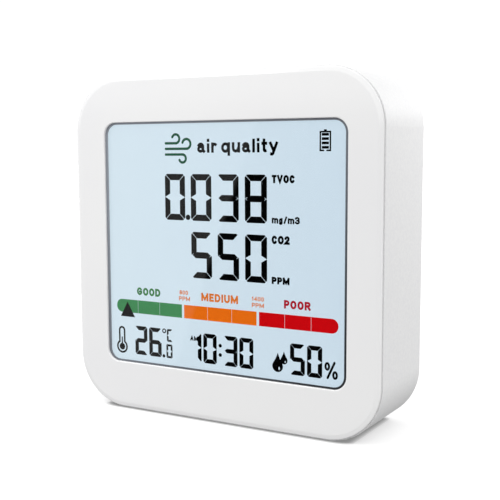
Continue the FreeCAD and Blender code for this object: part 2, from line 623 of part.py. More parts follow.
def make_co2_sensor():
    """Carrier plate, metal lid and the round port under the filter."""
    body = plate("co2_sensor", "dim.co_base", "dim.co_base", "dim.co_corner", BOARD_BACK,
                 "dim.co_base_thick", "dim.co_x", "dim.co_z")
    lid_front = f"{BOARD_BACK} + dim.co_base_thick"
    lid = face_sketch(body, "co2_lid", lid_front, "dim.co_x", "dim.co_z")
    rounded_rectangle(lid, "dim.co_lid", "dim.co_lid", "dim.co_lid_corner")
    pad(body, lid, "dim.co_high - dim.co_base_thick")
    lid_back = f"{BOARD_BACK} + dim.co_high"
    round_edges(body, "co2_lid_edge", "dim.co_lid_round", lambda box: on_plane(box, lid_back))
    port = face_sketch(body, "co2_port", f"{lid_back} - dim.co_port_deep", "dim.co_x", "dim.co_z")
    circles(port, "dim.co_port", [("0", "0")])
    pocket(body, port, "dim.co_port_deep")
    keep(body)
    outer = "dim.co_lid - 2 * dim.co_foam_edge"
    inner = "dim.co_lid - 2 * dim.co_foam_wall"
    keep(ring("co2_sensor_gasket", (outer, outer, "dim.co_lid_corner"),
              (inner, inner, "dim.co_foam_corner"), lid_back, "dim.co_foam", "dim.co_x", "dim.co_z"))


def make_controller_chip():
    """Flat square package with a row of leads on each of its four sides."""
    body = plate("controller_chip", "dim.chip_wide", "dim.chip_wide", "dim.chip_corner",
                 f"{BOARD_BACK} + dim.chip_lift", "dim.chip_high", "0", "dim.chip_z")
    reach = "(dim.lead_count - 1) * dim.lead_pitch"
    for name, upright in (("leads_across", False), ("leads_upright", True)):
        x = f"-{reach} / 2" if upright else "0"
        z = "dim.chip_z" if upright else f"dim.chip_z - {reach} / 2"
        sketch = face_sketch(body, name, BOARD_BACK, x, z)
        if upright:
            rectangle(sketch, "dim.lead_wide", "dim.lead_span")
        else:
            rectangle(sketch, "dim.lead_span", "dim.lead_wide")
        leads = pad(body, sketch, "dim.lead_thick")
        row = body.newObject("PartDesign::LinearPattern", f"{name}_row")
        row.Originals = [leads]
        row.Direction = (sketch, ["H_Axis" if upright else "V_Axis"])
        row.setExpression("Length", reach)
        row.setExpression("Occurrences", "dim.lead_count")
        body.Tip = row
    keep(body)


def make_board_components():
    """Coils, capacitors, a crystal and small chips: each is x, z, width, height, thickness."""
    sizes = [
        (-26, 40, 6, 6, 3), (-26, 49, 4, 5, 1.2), (-17, 50, 3, 3, 0.9), (-12, 36, 5, 2, 1.3),
        (12, 36, 3.2, 2.5, 0.8), (16, 44, 4, 4, 1), (-30, 31, 3.5, 2.8, 1.9), (24, 30, 5, 4, 1.5),
        (26, 20, 3.2, 1.6, 0.9), (26, 15, 3.2, 1.6, 0.9), (-9, 12, 2, 1.2, 0.6), (3, 12, 2, 1.2, 0.6),
        (-27, 66, 2, 1.2, 0.6), (27, 66, 2, 1.2, 0.6), (10, 52, 3.2, 1.6, 0.9), (-8, 53, 3.2, 1.6, 0.9),
    ]
    members = []
    for index, (x, z, width, height, thick) in enumerate(sizes, start=1):
        low_x = f"{x - width / 2}"
        low_z = f"{z - height / 2}"
        members.append(block(f"component_{index}", str(width), str(thick), str(height),
                             low_x, BOARD_BACK, low_z))
    keep(group("board_components", members))


def make_buzzer():
    """Round sounder with a hole in the middle of its top."""
    body = new_body("buzzer")
    outline = face_sketch(body, "buzzer_outline", BOARD_BACK, "dim.buzzer_x", "dim.buzzer_z")
    circles(outline, "dim.buzzer_radius", [("0", "0")])
    pad(body, outline, "dim.buzzer_high")
    top = f"{BOARD_BACK} + dim.buzzer_high"
    round_edges(body, "buzzer_edge", "dim.buzzer_round", lambda box: on_plane(box, top))
    hole = face_sketch(body, "buzzer_opening", f"{top} - dim.buzzer_hole_deep", "dim.buzzer_x",
                       "dim.buzzer_z")
    circles(hole, "dim.buzzer_hole", [("0", "0")])
    pocket(body, hole, "dim.buzzer_hole_deep")
    keep(body)


def make_usb_socket():
    """Metal shell with its tongue, lying on the board with the mouth to the left."""
    body = new_body("usb_socket")
    middle = behind(f"{BOARD_BACK} + dim.usb_high / 2")
    shell = sketch_at(body, "YZ_Plane", "usb_shell", middle, "dim.usb_z", "-dim.usb_mouth_x")
    stadium(shell, "dim.usb_wide", "dim.usb_high", upright=True)
    pad(body, shell, "dim.usb_long", backwards=False)
    cavity = sketch_at(body, "YZ_Plane", "usb_cavity", middle, "dim.usb_z",
                       "dim.usb_pocket - dim.usb_mouth_x")
    stadium(cavity, "dim.usb_wide - 2 * dim.usb_skin", "dim.usb_high - 2 * dim.usb_skin", upright=True)
    pocket(body, cavity, "dim.usb_pocket")
    tongue = sketch_at(body, "YZ_Plane", "usb_tongue_outline", middle, "dim.usb_z",
                       "dim.usb_pocket - dim.usb_mouth_x")
    rectangle(tongue, "dim.usb_tongue", "dim.usb_tongue_wide")
    pad(body, tongue, "dim.usb_tongue_long")
    keep(body)


def make_switches():
    """Four tact switches: a square body with a bore for the plunger, and two pairs of legs."""
    bodies = []
    for name, step in BUTTONS.items():
        x = f"{step} * dim.button_pitch"
        body = plate(f"switch_{name}", "dim.switch_width", "dim.switch_width", "dim.switch_corner",
                     BOARD_BACK, "dim.switch_high", x, "dim.button_z")
        for side in (-1, 1):
            legs = face_sketch(body, f"legs_{name}_{'low' if side < 0 else 'high'}", BOARD_BACK, x,
                               f"dim.button_z + {side} * dim.leg_z")
            rectangle(legs, "dim.leg_long", "dim.leg_wide")
            pad(body, legs, "dim.leg_thick")
        bore_front = f"{BOARD_BACK} + dim.switch_high - dim.switch_bore_deep"
        bore = face_sketch(body, f"bore_{name}", bore_front, x, "dim.button_z")
        circles(bore, "dim.switch_bore", [("0", "0")])
        pocket(body, bore, "dim.switch_bore_deep")
        bodies.append(body)
    keep(group("switch_bodies", bodies))


def turned(label, profile, x, z):
    """A turned piece on an axis parallel to Y: each profile point is a radius and a depth."""
    body = new_body(label)
    sketch = sketch_at(body, "XY_Plane", f"{label}_profile", x, "0", z)
    polygon(sketch, [(radius, behind(depth)) for radius, depth in profile])
    turn = body.newObject("PartDesign::Revolution", f"{label}_turn")
    turn.Profile = sketch
    turn.ReferenceAxis = (sketch, ["V_Axis"])
    turn.Angle = 360
    return body


def make_buttons():
    """Each cap has a stem to its switch's plunger and a flange that stops it at the wall."""
    for name, step in BUTTONS.items():
        x = f"{step} * dim.button_pitch"
        edge = "dim.button_edge"
        cap = turned(f"button_{name}", [
            ("0", "dim.plunger_back"), ("dim.stem_radius", "dim.plunger_back"),
            ("dim.stem_radius", "dim.flange_front"), ("dim.flange_radius", "dim.flange_front"),
            ("dim.flange_radius", "dim.flange_back"), ("dim.button_radius", "dim.flange_back"),
            ("dim.button_radius", f"dim.button_top - {edge}"),
            (f"dim.button_radius - {edge}", "dim.button_top"), ("0", "dim.button_top"),
        ], x, "dim.button_z")
        keep(cap)
        plunger = turned(f"switch_plunger_{name}", [
            ("0", "dim.plunger_front"), ("dim.plunger_radius", "dim.plunger_front"),
            ("dim.plunger_radius", "dim.plunger_back"), ("0", "dim.plunger_back"),
        ], x, "dim.button_z")
        keep(plunger)


# ---- cell ------------------------------------------------------------------------------------

def make_lithium_cell():
    """Soft pouch cell, held to the display tray by a foam pad."""
    cell = plate("lithium_cell", "dim.cell_width", "dim.cell_height", "dim.cell_corner",
                 CELL_FRONT, "dim.cell_thick", z="dim.cell_z")
    cell_back = f"{CELL_FRONT} + dim.cell_thick"
    round_edges(cell, "cell_edge", "dim.cell_round",
                lambda box: on_plane(box, CELL_FRONT) or on_plane(box, cell_back))
    keep(cell)
    keep(block("battery_tape", "dim.pad_width", "dim.pad_thick", "dim.pad_height",
               "-dim.pad_width / 2", TRAY_BACK, "dim.cell_z - dim.pad_height / 2"))


def make_battery_connector():
    """Header on the front of the board, open to the right, and the plug that sits in it."""
    header_front = "dim.board_front - dim.header_high"
    body = new_body("battery_socket")
    outline = sketch_at(body, "YZ_Plane", "header_outline",
                        behind("dim.board_front - dim.header_high / 2"), "dim.header_z",
                        "dim.header_x")
    rectangle(outline, "dim.header_high", "dim.header_wide")
    pad(body, outline, "dim.header_long", backwards=False)
    cavity = sketch_at(body, "YZ_Plane", "header_cavity",
                       behind("dim.board_front - dim.header_high / 2"), "dim.header_z",
                       "dim.header_x + dim.header_wall")
    inner = "2 * dim.header_wall"
    rectangle(cavity, f"dim.header_high - {inner}", f"dim.header_wide - {inner}")
    pocket(body, cavity, "dim.header_long", reversed_cut=True)
    keep(body)

    wall = "dim.header_wall + dim.plug_fit"
    keep(block("battery_plug", f"dim.header_long - ({wall}) + dim.plug_out",
               f"dim.header_high - 2 * ({wall})", f"dim.header_wide - 2 * ({wall})",
               f"dim.header_x + {wall}", f"{header_front} + {wall}",
               f"dim.header_z - dim.header_wide / 2 + {wall}"))


def make_battery_lead(label, order):
    """One lead: up out of the cell, round one bend and left into the plug."""
    body = new_body(label)
    depth = "dim.board_front - dim.header_high / 2"
    start_x = f"dim.lead_first_x + {order} * dim.lead_spacing"
    start_z = "dim.cell_z + dim.cell_height / 2"
    end_x = "dim.header_x + dim.header_long + dim.plug_out"
    end_z = f"dim.header_z + ({order} - 0.5) * dim.lead_spacing"
    path = face_sketch(body, f"{label}_path", depth)
    bend = number("dim.lead_bend")
    right = number(start_x)
    top = number(end_z)
    rise = add_line(path, (right, number(start_z)), (right, top - bend))
    turn = add_arc(path, (right - bend, top - bend), bend, 0, 90)
    across = add_line(path, (right - bend, top), (number(end_x), top))
    path.addConstraint(Sketcher.Constraint("Tangent", rise, 2, turn, 1))
    path.addConstraint(Sketcher.Constraint("Tangent", turn, 2, across, 1))
    path.addConstraint(Sketcher.Constraint("Vertical", rise))
    path.addConstraint(Sketcher.Constraint("Horizontal", across))
    size_constraint(path, "Radius", "dim.lead_bend", turn)
    pin_point(path, rise, 1, start_x, start_z)
    pin_point(path, across, 2, end_x, end_z)
    section = sketch_at(body, "XY_Plane", f"{label}_section", start_x, behind(depth), start_z)
    circles(section, "dim.lead_radius", [("0", "0")])
    sweep = body.newObject("PartDesign::AdditivePipe", f"{label}_sweep")
    sweep.Profile = section
    sweep.Spine = (path, ["Edge1", "Edge2", "Edge3"])
    keep(body)


# ---- rear case -------------------------------------------------------------------------------

def cut_usb_port(body):
    """Opening for the charging plug in the left wall, in a shallow recess."""
    middle = behind(f"{BOARD_BACK} + dim.usb_high / 2")
    for name, high, wide, depth in (
        ("usb_port", "dim.usb_port_high", "dim.usb_port_wide", "dim.case_wall"),
        ("usb_recess", "dim.usb_recess_high", "dim.usb_recess_wide", "dim.usb_recess_deep"),
    ):
        sketch = sketch_at(body, "YZ_Plane", name, middle, "dim.usb_z", "-dim.case_width / 2")
        stadium(sketch, wide, high, upright=True)
        pocket(body, sketch, depth, reversed_cut=True)


def cut_vents(body):
    """A row of upright slots in the back wall, over the sensors."""
    reach = "(dim.vent_count - 1) * dim.vent_pitch"
    slot = face_sketch(body, "vent_slot", WALL_INSIDE, f"-{reach} / 2", "dim.vent_z")
    stadium(slot, "dim.vent_high", "dim.vent_wide", upright=True)
    cut = pocket(body, slot, "dim.back_wall")
    row = body.newObject("PartDesign::LinearPattern", "vent_row")
    row.Originals = [cut]
    row.Direction = (slot, ["H_Axis"])
    row.setExpression("Length", reach)
    row.setExpression("Occurrences", "dim.vent_count")
    body.Tip = row


def cut_sound_holes(body):
    """One hole over the sounder and a ring of holes round it."""
    count = int(number("dim.sound_count"))
    centres = [("dim.buzzer_x", "dim.buzzer_z")]
    for index in range(count):
        angle = f"360 deg * {index} / dim.sound_count"
        centres.append((f"dim.buzzer_x + dim.sound_ring * cos({angle})",
                        f"dim.buzzer_z + dim.sound_ring * sin({angle})"))
    holes = face_sketch(body, "sound_holes", WALL_INSIDE)
    circles(holes, "dim.sound_hole", centres)
    pocket(body, holes, "dim.back_wall")


def make_rear_case():
    body = new_body("rear_case")
    outline = face_sketch(body, "case_outline", "dim.case_front", z="dim.case_height / 2")
    rounded_rectangle(outline, "dim.case_width", "dim.case_height", "dim.case_corner")
    pad(body, outline, "dim.case_depth - dim.case_front")
    round_edges(body, "case_back_edge", "dim.back_round", lambda box: on_plane(box, "dim.case_depth"))
    round_edges(body, "case_rim_edge", "dim.rim_round", lambda box: on_plane(box, "dim.case_front"))
    inside = face_sketch(body, "case_inside", "dim.case_front", z="dim.case_height / 2")
    rounded_rectangle(inside, "dim.case_width - 2 * dim.case_wall", "dim.case_height - 2 * dim.case_wall",
                      "dim.case_corner - dim.case_wall")
    pocket(body, inside, f"{WALL_INSIDE} - dim.case_front")

    bosses = face_sketch(body, "case_bosses", "dim.boss_meet")
    circles(bosses, "dim.case_boss", CORNERS.values())
    pad(body, bosses, f"{WALL_INSIDE} - dim.boss_meet")
    clears = face_sketch(body, "screw_clearance", "dim.boss_meet")
    circles(clears, "dim.boss_clear", CORNERS.values())
    pocket(body, clears, "dim.head_seat - dim.boss_meet")
    counterbores = face_sketch(body, "screw_counterbores", "dim.head_seat")
    circles(counterbores, "dim.counterbore", CORNERS.values())
    pocket(body, counterbores, "dim.case_depth - dim.head_seat")

    cut_usb_port(body)
    cut_vents(body)
    cut_sound_holes(body)
    dish = face_sketch(body, "button_dish", DISH_FLOOR, z="dim.button_z")
    stadium(dish, "dim.dish_width", "dim.dish_height", upright=False)
    pocket(body, dish, "dim.dish_deep")
    holes = face_sketch(body, "button_holes", WALL_INSIDE, z="dim.button_z")
    circles(holes, "dim.button_radius + dim.button_gap",
            [(f"{step} * dim.button_pitch", "0") for step in BUTTONS.values()])
    pocket(body, holes, "dim.back_wall")
    label_seat = face_sketch(body, "label_seat", "dim.case_depth - dim.label_deep", z="dim.label_z")
    rounded_rectangle(label_seat, "dim.label_width", "dim.label_height", "dim.label_corner")
    pocket(body, label_seat, "dim.label_deep")
    keep(body)


def make_back_trim():
    """Blank rating label in its recess, and the dust mesh behind the vents."""
    keep(plate("rating_label", "dim.label_width - 2 * dim.label_gap",
               "dim.label_height - 2 * dim.label_gap", "dim.label_corner - dim.label_gap",
               "dim.case_depth - dim.label_deep", "dim.label_thick", z="dim.label_z"))
    keep(plate("dust_mesh", "dim.mesh_width", "dim.mesh_height", "dim.mesh_corner",
               f"{WALL_INSIDE} - dim.mesh_thick", "dim.mesh_thick", z="dim.vent_z"))


# ---- screws ----------------------------------------------------------------------------------

def screw(label, head_radius, head_high, shank_radius, shank_long, seat, x, z):
    """Pan-head screw that enters from the back, with a cross recess."""
    edge = f"{head_high} / 3"
    body = turned(label, [
        ("0", f"{seat} - {shank_long}"), (f"{shank_radius} / 2", f"{seat} - {shank_long}"),
        (shank_radius, f"{seat} - {shank_long} + {shank_radius}"), (shank_radius, seat),
        (head_radius, seat), (head_radius, f"{seat} + {head_high} - {edge}"),
        (f"{head_radius} - {edge}", f"{seat} + {head_high}"), ("0", f"{seat} + {head_high}"),
    ], x, z)
    recess_front = f"{seat} + {head_high} - dim.cross_deep"
    for name, wide, high in (("slot_across", "dim.cross_long", "dim.cross_wide"),
                             ("slot_upright", "dim.cross_wide", "dim.cross_long")):
        cross = face_sketch(body, f"{label}_{name}", recess_front, x, z)
        rectangle(cross, wide, high)
        pocket(body, cross, "2 * dim.cross_deep")
    return body


def make_screws():
    case_screws = [
        screw(f"screw_{name}", "dim.head_radius", "dim.head_high", "dim.shank_radius",
              "dim.shank_long", "dim.head_seat", x, z)
        for name, (x, z) in CORNERS.items()
    ]
    keep(group("case_screws", case_screws))
    board_screws = [
        screw(f"screw_{name}", "dim.board_head", "dim.board_head_high", "dim.board_shank",
              "dim.board_shank_long", f"({BOARD_BACK})", x, z)
        for name, (x, z) in POSTS.items()
    ]
    keep(group("board_screws", board_screws))


# ---- the whole instrument --------------------------------------------------------------------

def build():
    fill_sheet()
    make_front_bezel()
    make_window()
    make_display_layers()
    make_light_guide()
    make_backlight()
    make_display_frame()
    make_lcd_ribbon()
    make_ribbon_connector()
    make_main_board()
    make_co2_sensor()
    make_packaged_sensor("tvoc_sensor", "dim.tvoc_wide", "dim.tvoc_high", "dim.tvoc_port",
                         "dim.tvoc_x", "dim.tvoc_z")
    make_packaged_sensor("humidity_sensor", "dim.humid_wide", "dim.humid_high", "dim.humid_port",
                         "dim.humid_x", "dim.humid_z")
    make_controller_chip()
    make_board_components()
    make_buzzer()
    make_usb_socket()
    make_switches()
    make_buttons()
    make_lithium_cell()
    make_battery_connector()
    make_battery_lead("battery_lead_black", 0)
    make_battery_lead("battery_lead_red", 1)
    make_rear_case()
    make_back_trim()
    make_screws()
    document.recompute()


def check():
    """Stop before anything is written if an object failed or a solid is not sound."""
    for item in document.Objects:
        bad = [state for state in item.State if state in ("Invalid", "Error")]
        if bad:
            raise RuntimeError(f"{item.Name} is {bad}")
    for node in nodes:
        if node.Shape.isNull() or not node.Shape.isValid():
            raise RuntimeError(f"{node.Label} has no valid shape")


def write():
    os.makedirs("parts", exist_ok=True)
    for node in nodes:
        node.Shape.exportStep(f"parts/{node.Label}.step")
        print(f"{node.Label}: {len(node.Shape.Solids)} solid(s), {node.Shape.Volume:.2f} mm3")


build()
check()
write()
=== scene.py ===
import math

import bmesh
import bpy
from mathutils import Matrix, Vector
from mathutils.geometry import delaunay_2d_cdt


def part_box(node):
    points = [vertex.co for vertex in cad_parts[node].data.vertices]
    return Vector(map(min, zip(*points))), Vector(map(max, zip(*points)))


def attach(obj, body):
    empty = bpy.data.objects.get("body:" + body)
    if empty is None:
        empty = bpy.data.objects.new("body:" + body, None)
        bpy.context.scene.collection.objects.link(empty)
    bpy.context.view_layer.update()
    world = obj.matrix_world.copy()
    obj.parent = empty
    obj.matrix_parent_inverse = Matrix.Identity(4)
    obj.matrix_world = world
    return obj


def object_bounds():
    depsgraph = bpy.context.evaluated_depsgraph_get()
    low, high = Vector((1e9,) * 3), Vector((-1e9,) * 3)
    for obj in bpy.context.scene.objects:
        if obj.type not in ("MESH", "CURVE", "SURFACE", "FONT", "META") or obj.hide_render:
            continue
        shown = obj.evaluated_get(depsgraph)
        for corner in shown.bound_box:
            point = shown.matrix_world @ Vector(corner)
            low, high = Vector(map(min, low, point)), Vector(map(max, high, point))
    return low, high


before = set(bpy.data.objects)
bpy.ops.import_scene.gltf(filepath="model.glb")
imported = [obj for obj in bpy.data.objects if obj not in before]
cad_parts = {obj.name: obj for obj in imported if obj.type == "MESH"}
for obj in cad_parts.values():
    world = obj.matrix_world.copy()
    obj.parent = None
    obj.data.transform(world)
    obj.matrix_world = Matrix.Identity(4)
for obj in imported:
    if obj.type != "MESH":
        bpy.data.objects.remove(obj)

# Looks of a free-standing air monitor. Lengths in the frame are metres; the drawing on the
# display is laid out in millimetres, x to the right and z up from the surface it stands on.

MM = 0.001
PICTURE_REACH = 33.0        # half the width of the picture on the display, mm
cad_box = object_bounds()
scene = bpy.context.scene


# ---- materials -------------------------------------------------------------------------------

def linear(red, green, blue):
    """Linear colour of an 8-bit screen colour."""
    def channel(value):
        value = value / 255
        return value / 12.92 if value <= 0.04045 else ((value + 0.055) / 1.055) ** 2.4
    return (channel(red), channel(green), channel(blue), 1.0)


def new_material(name, colour, roughness, **sockets):
    """A Principled material. Extra keywords are socket names with underscores for spaces."""
    material = bpy.data.materials.new(name)
    material.use_nodes = True
    shader = material.node_tree.nodes["Principled BSDF"]
    shader.inputs["Base Color"].default_value = colour
    shader.inputs["Roughness"].default_value = roughness
    for key, value in sockets.items():
        shader.inputs[key.replace("_", " ")].default_value = value
    return material


def add_node(material, kind, **values):
    """A node with its properties and, where a name matches, its input sockets set."""
    node = material.node_tree.nodes.new(kind)
    for key, value in values.items():
        if hasattr(node, key):
            setattr(node, key, value)
        else:
            node.inputs[key.replace("_", " ")].default_value = value
    return node


def join(material, source, output, target, socket):
    material.node_tree.links.new(source.outputs[output], target.inputs[socket])


def millimetres(material):
    """Object coordinates in millimetres."""
    place = add_node(material, "ShaderNodeTexCoord")
    scale = add_node(material, "ShaderNodeMapping")
    scale.inputs["Scale"].default_value = (1 / MM, 1 / MM, 1 / MM)
    join(material, place, "Object", scale, "Vector")
    return scale


def shader_of(material):
    return material.node_tree.nodes["Principled BSDF"]


def grain(material, per_mm, depth_mm, strength=1.0, detail=2.0):
    """Fine relief from noise: per_mm features in a millimetre, depth_mm high."""
    place = millimetres(material)
    noise = add_node(material, "ShaderNodeTexNoise")
    noise.inputs["Scale"].default_value = per_mm
    noise.inputs["Detail"].default_value = detail
    join(material, place, "Vector", noise, "Vector")
    bump = add_node(material, "ShaderNodeBump", Strength=strength, Distance=depth_mm * MM)
    join(material, noise, "Fac", bump, "Height")
    join(material, bump, "Normal", shader_of(material), "Normal")


def vary_roughness(material, per_mm, low, high):
    """Roughness that wanders between low and high, like handled plastic."""
    place = millimetres(material)
    noise = add_node(material, "ShaderNodeTexNoise")
    noise.inputs["Scale"].default_value = per_mm
    noise.inputs["Detail"].default_value = 3.0
    span = add_node(material, "ShaderNodeMapRange")
    span.inputs["To Min"].default_value = low
    span.inputs["To Max"].default_value = high
    join(material, place, "Vector", noise, "Vector")
    join(material, noise, "Fac", span, "Value")
    join(material, span, "Result", shader_of(material), "Roughness")


def vary_colour(material, per_mm, first, second):
    """Colour that wanders between two near shades."""
    place = millimetres(material)
    noise = add_node(material, "ShaderNodeTexNoise")
    noise.inputs["Scale"].default_value = per_mm
    noise.inputs["Detail"].default_value = 4.0
    ramp = add_node(material, "ShaderNodeValToRGB")
    ramp.color_ramp.elements[0].position = 0.35
    ramp.color_ramp.elements[0].color = first
    ramp.color_ramp.elements[1].position = 0.65
    ramp.color_ramp.elements[1].color = second
    join(material, place, "Vector", noise, "Vector")
    join(material, noise, "Fac", ramp, "Fac")
    join(material, ramp, "Color", shader_of(material), "Base Color")


def gloss_white():
    material = new_material("bezel_gloss", linear(240, 240, 241), 0.12, IOR=1.5, Coat_Weight=0.25,
                            Coat_Roughness=0.03)
    vary_colour(material, 0.03, linear(240, 240, 241), linear(242, 242, 242))
    vary_roughness(material, 0.4, 0.09, 0.15)
    grain(material, 0.6, 0.004, strength=0.25, detail=1.0)
    return material


def spark_white():
    material = new_material("case_spark", linear(236, 236, 237), 0.5, IOR=1.48)
    vary_colour(material, 1.6, linear(233, 233, 234), linear(238, 238, 238))
    vary_roughness(material, 2.0, 0.44, 0.58)
    grain(material, 2.4, 0.05, strength=0.55, detail=4.0)
    return material


def clear_window():
    return new_material("window_acrylic", (1.0, 1.0, 1.0, 1.0), 0.0, IOR=1.49,
                        Transmission_Weight=1.0)


def thin_glass():
    return new_material("display_glass", (0.96, 0.98, 0.97, 1.0), 0.0, IOR=1.52,
                        Transmission_Weight=1.0)


def lit_film():
    """The backlit ground of the display: a pale blue glow from the backlight, with a painted reflection that
    makes it a little brighter on the left.
    """
    material = new_material("display_ground", linear(84, 92, 97), 0.35)
    place = millimetres(material)
    split = add_node(material, "ShaderNodeSeparateXYZ")
    ramp = add_node(material, "ShaderNodeMapRange")
    ramp.inputs["From Min"].default_value = -PICTURE_REACH
    ramp.inputs["From Max"].default_value = PICTURE_REACH
    # painted reflection: the backlight glow is made a little brighter on the left than on the right
    mix = add_node(material, "ShaderNodeMix", data_type="RGBA")
    mix.inputs[6].default_value = linear(209, 226, 236)
    mix.inputs[7].default_value = linear(200, 218, 231)
    join(material, place, "Vector", split, "Vector")
    join(material, split, "X", ramp, "Value")
    join(material, ramp, "Result", mix, "Factor")
    material.node_tree.links.new(mix.outputs[2], shader_of(material).inputs["Emission Color"])
    shader_of(material).inputs["Emission Strength"].default_value = 1.0
    grain(material, 5.0, 0.004, strength=0.2)
    return material


def ink(name, red, green, blue, glow=0.68):
    """One colour of the display: part of it is light from behind, the rest is the room's."""
    colour = linear(red, green, blue)
    material = new_material(name, [c * 0.5 for c in colour[:3]] + [1.0], 0.6, Specular_IOR_Level=0.0)
    shader_of(material).inputs["Emission Color"].default_value = colour
    shader_of(material).inputs["Emission Strength"].default_value = glow
    grain(material, 6.0, 0.002, strength=0.15)
    return material


# x - z, in millimetres, where the trim line's painted shade is lightest and where it is darkest
TRIM_SHADE_LEAST, TRIM_SHADE_MOST = -80.0, 10.0


def trim_with_painted_shade():
    """The line round the window, grey with painted shade: pale grey at the upper left, near black at the
    lower right.
    """
    material = new_material("trim_grey", linear(90, 92, 96), 0.3)
    place = millimetres(material)
    split = add_node(material, "ShaderNodeSeparateXYZ")
    slope = add_node(material, "ShaderNodeMath", operation="SUBTRACT")
    span = add_node(material, "ShaderNodeMapRange")
    span.inputs["From Min"].default_value = TRIM_SHADE_LEAST
    span.inputs["From Max"].default_value = TRIM_SHADE_MOST
    # painted shade: the colour goes from pale grey to near black along x - z
    mix = add_node(material, "ShaderNodeMix", data_type="RGBA")
    mix.inputs[6].default_value = linear(142, 148, 158)
    mix.inputs[7].default_value = linear(44, 46, 50)
    join(material, place, "Vector", split, "Vector")
    material.node_tree.links.new(split.outputs["X"], slope.inputs[0])
    material.node_tree.links.new(split.outputs["Z"], slope.inputs[1])
    join(material, slope, "Value", span, "Value")
    join(material, span, "Result", mix, "Factor")
    material.node_tree.links.new(mix.outputs[2], shader_of(material).inputs["Base Color"])
    grain(material, 4.0, 0.004, strength=0.2)
    return material


def moulded(name, colour, roughness, per_mm=1.2, relief=0.02, **sockets):
    material = new_material(name, colour, roughness, **sockets)
    vary_roughness(material, per_mm, roughness * 0.85, min(1.0, roughness * 1.2))
    grain(material, per_mm * 2, relief, strength=0.35, detail=3.0)
    return material


def brushed(name, colour, roughness, along=(1, 1, 30)):
    """Metal with fine scratches along one axis."""
    material = new_material(name, colour, roughness, Metallic=1.0)
    place = millimetres(material)
    stretch = add_node(material, "ShaderNodeMapping")
    stretch.inputs["Scale"].default_value = along
    noise = add_node(material, "ShaderNodeTexNoise")
    noise.inputs["Scale"].default_value = 1.5
    noise.inputs["Detail"].default_value = 5.0
    span = add_node(material, "ShaderNodeMapRange")
    span.inputs["To Min"].default_value = roughness * 0.7
    span.inputs["To Max"].default_value = roughness * 1.4
    bump = add_node(material, "ShaderNodeBump", Strength=0.3, Distance=0.01 * MM)
    join(material, place, "Vector", stretch, "Vector")
    join(material, stretch, "Vector", noise, "Vector")
    join(material, noise, "Fac", span, "Value")
    join(material, span, "Result", shader_of(material), "Roughness")
    join(material, noise, "Fac", bump, "Height")
    join(material, bump, "Normal", shader_of(material), "Normal")
    return material


def woven(name, colour, threads_per_mm):
    """Plain weave from two crossed wave patterns."""
    material = new_material(name, colour, 0.8)
    place = millimetres(material)
    waves = []
    for direction in ("X", "Z"):
        wave = add_node(material, "ShaderNodeTexWave", bands_direction=direction)
        wave.inputs["Scale"].default_value = threads_per_mm
        join(material, place, "Vector", wave, "Vector")
        waves.append(wave)
    weave = add_node(material, "ShaderNodeMath", operation="MULTIPLY")
    material.node_tree.links.new(waves[0].outputs["Fac"], weave.inputs[0])
    material.node_tree.links.new(waves[1].outputs["Fac"], weave.inputs[1])
    bump = add_node(material, "ShaderNodeBump", Strength=0.8, Distance=0.05 * MM)
    join(material, weave, "Value", bump, "Height")
    join(material, bump, "Normal", shader_of(material), "Normal")
    return material


def dress(materials_by_node):
    """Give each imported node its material."""
    for node, material in materials_by_node.items():
        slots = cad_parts[node].material_slots
        if not slots:
            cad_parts[node].data.materials.append(material)
        for slot in slots:
            slot.material = material


black_foam = moulded("foam_black", (0.012, 0.012, 0.014, 1), 0.8, per_mm=3)
ivory = moulded("connector_ivory", linear(228, 222, 202), 0.5)
black_resin = moulded("resin_black", (0.02, 0.02, 0.022, 1), 0.6)
nickel = brushed("nickel", (0.62, 0.61, 0.58, 1), 0.3)
steel = brushed("socket_steel", (0.60, 0.60, 0.61, 1), 0.28, along=(30, 1, 1))
zinc = brushed("screw_zinc", (0.52, 0.53, 0.55, 1), 0.3, along=(6, 6, 6))
film = moulded("film_white", linear(238, 240, 242), 0.45)
amber = moulded("ribbon_amber", linear(206, 140, 52), 0.3, Coat_Weight=0.4)
button_plastic = moulded("button_satin", linear(222, 223, 225), 0.42, per_mm=1.5, relief=0.03)
button_print = moulded("button_print", linear(96, 98, 102), 0.6)
glass = thin_glass()

materials = {
    "front_bezel": gloss_white(),
    "rear_case": spark_white(),
    "display_window": clear_window(),
    "window_trim": trim_with_painted_shade(),
    "window_adhesive": black_foam,
    "lcd_gasket": black_foam,
    "front_polariser": lit_film(),
    "lcd_front_glass": glass,
    "lcd_rear_glass": glass,
    "rear_polariser": film,
    "diffuser_sheet": film,
    "reflector_sheet": film,
    "light_guide": glass,
    "led_strip": amber,
    "backlight_leds": moulded("lamp_phosphor", linear(238, 224, 132), 0.5),
    "display_frame": moulded("tray_white", linear(234, 233, 228), 0.5),
    "lcd_ribbon": amber,
    "ribbon_connector": ivory,
    "main_board": moulded("board_mask", linear(26, 92, 52), 0.32, per_mm=0.8, Coat_Weight=0.5),
    "co2_sensor": nickel,
    "co2_sensor_gasket": black_foam,
    "tvoc_sensor": nickel,
    "humidity_sensor": black_resin,
    "controller_chip": black_resin,
    "board_components": moulded("component_body", linear(120, 98, 74), 0.45),
    "buzzer": black_resin,
    "usb_socket": steel,
    "switch_bodies": steel,
    "lithium_cell": brushed("cell_foil", (0.62, 0.63, 0.65, 1), 0.34, along=(1, 1, 6)),
    "battery_tape": moulded("tape_white", linear(232, 231, 226), 0.7),
    "battery_socket": ivory,
    "battery_plug": ivory,
    "battery_lead_black": moulded("lead_black", (0.015, 0.015, 0.016, 1), 0.45),
    "battery_lead_red": moulded("lead_red", linear(188, 22, 24), 0.45),
    "rating_label": moulded("label_silver", linear(206, 208, 211), 0.38, per_mm=3, relief=0.01),
    "dust_mesh": woven("mesh_black", (0.015, 0.015, 0.017, 1), 2.2),
    "case_screws": zinc,
    "board_screws": zinc,
}
for body in ("set", "up", "down", "light"):
    materials[f"button_{body}"] = button_plastic
    materials[f"switch_plunger_{body}"] = black_resin
dress(materials)


# ---- flat shapes -----------------------------------------------------------------------------

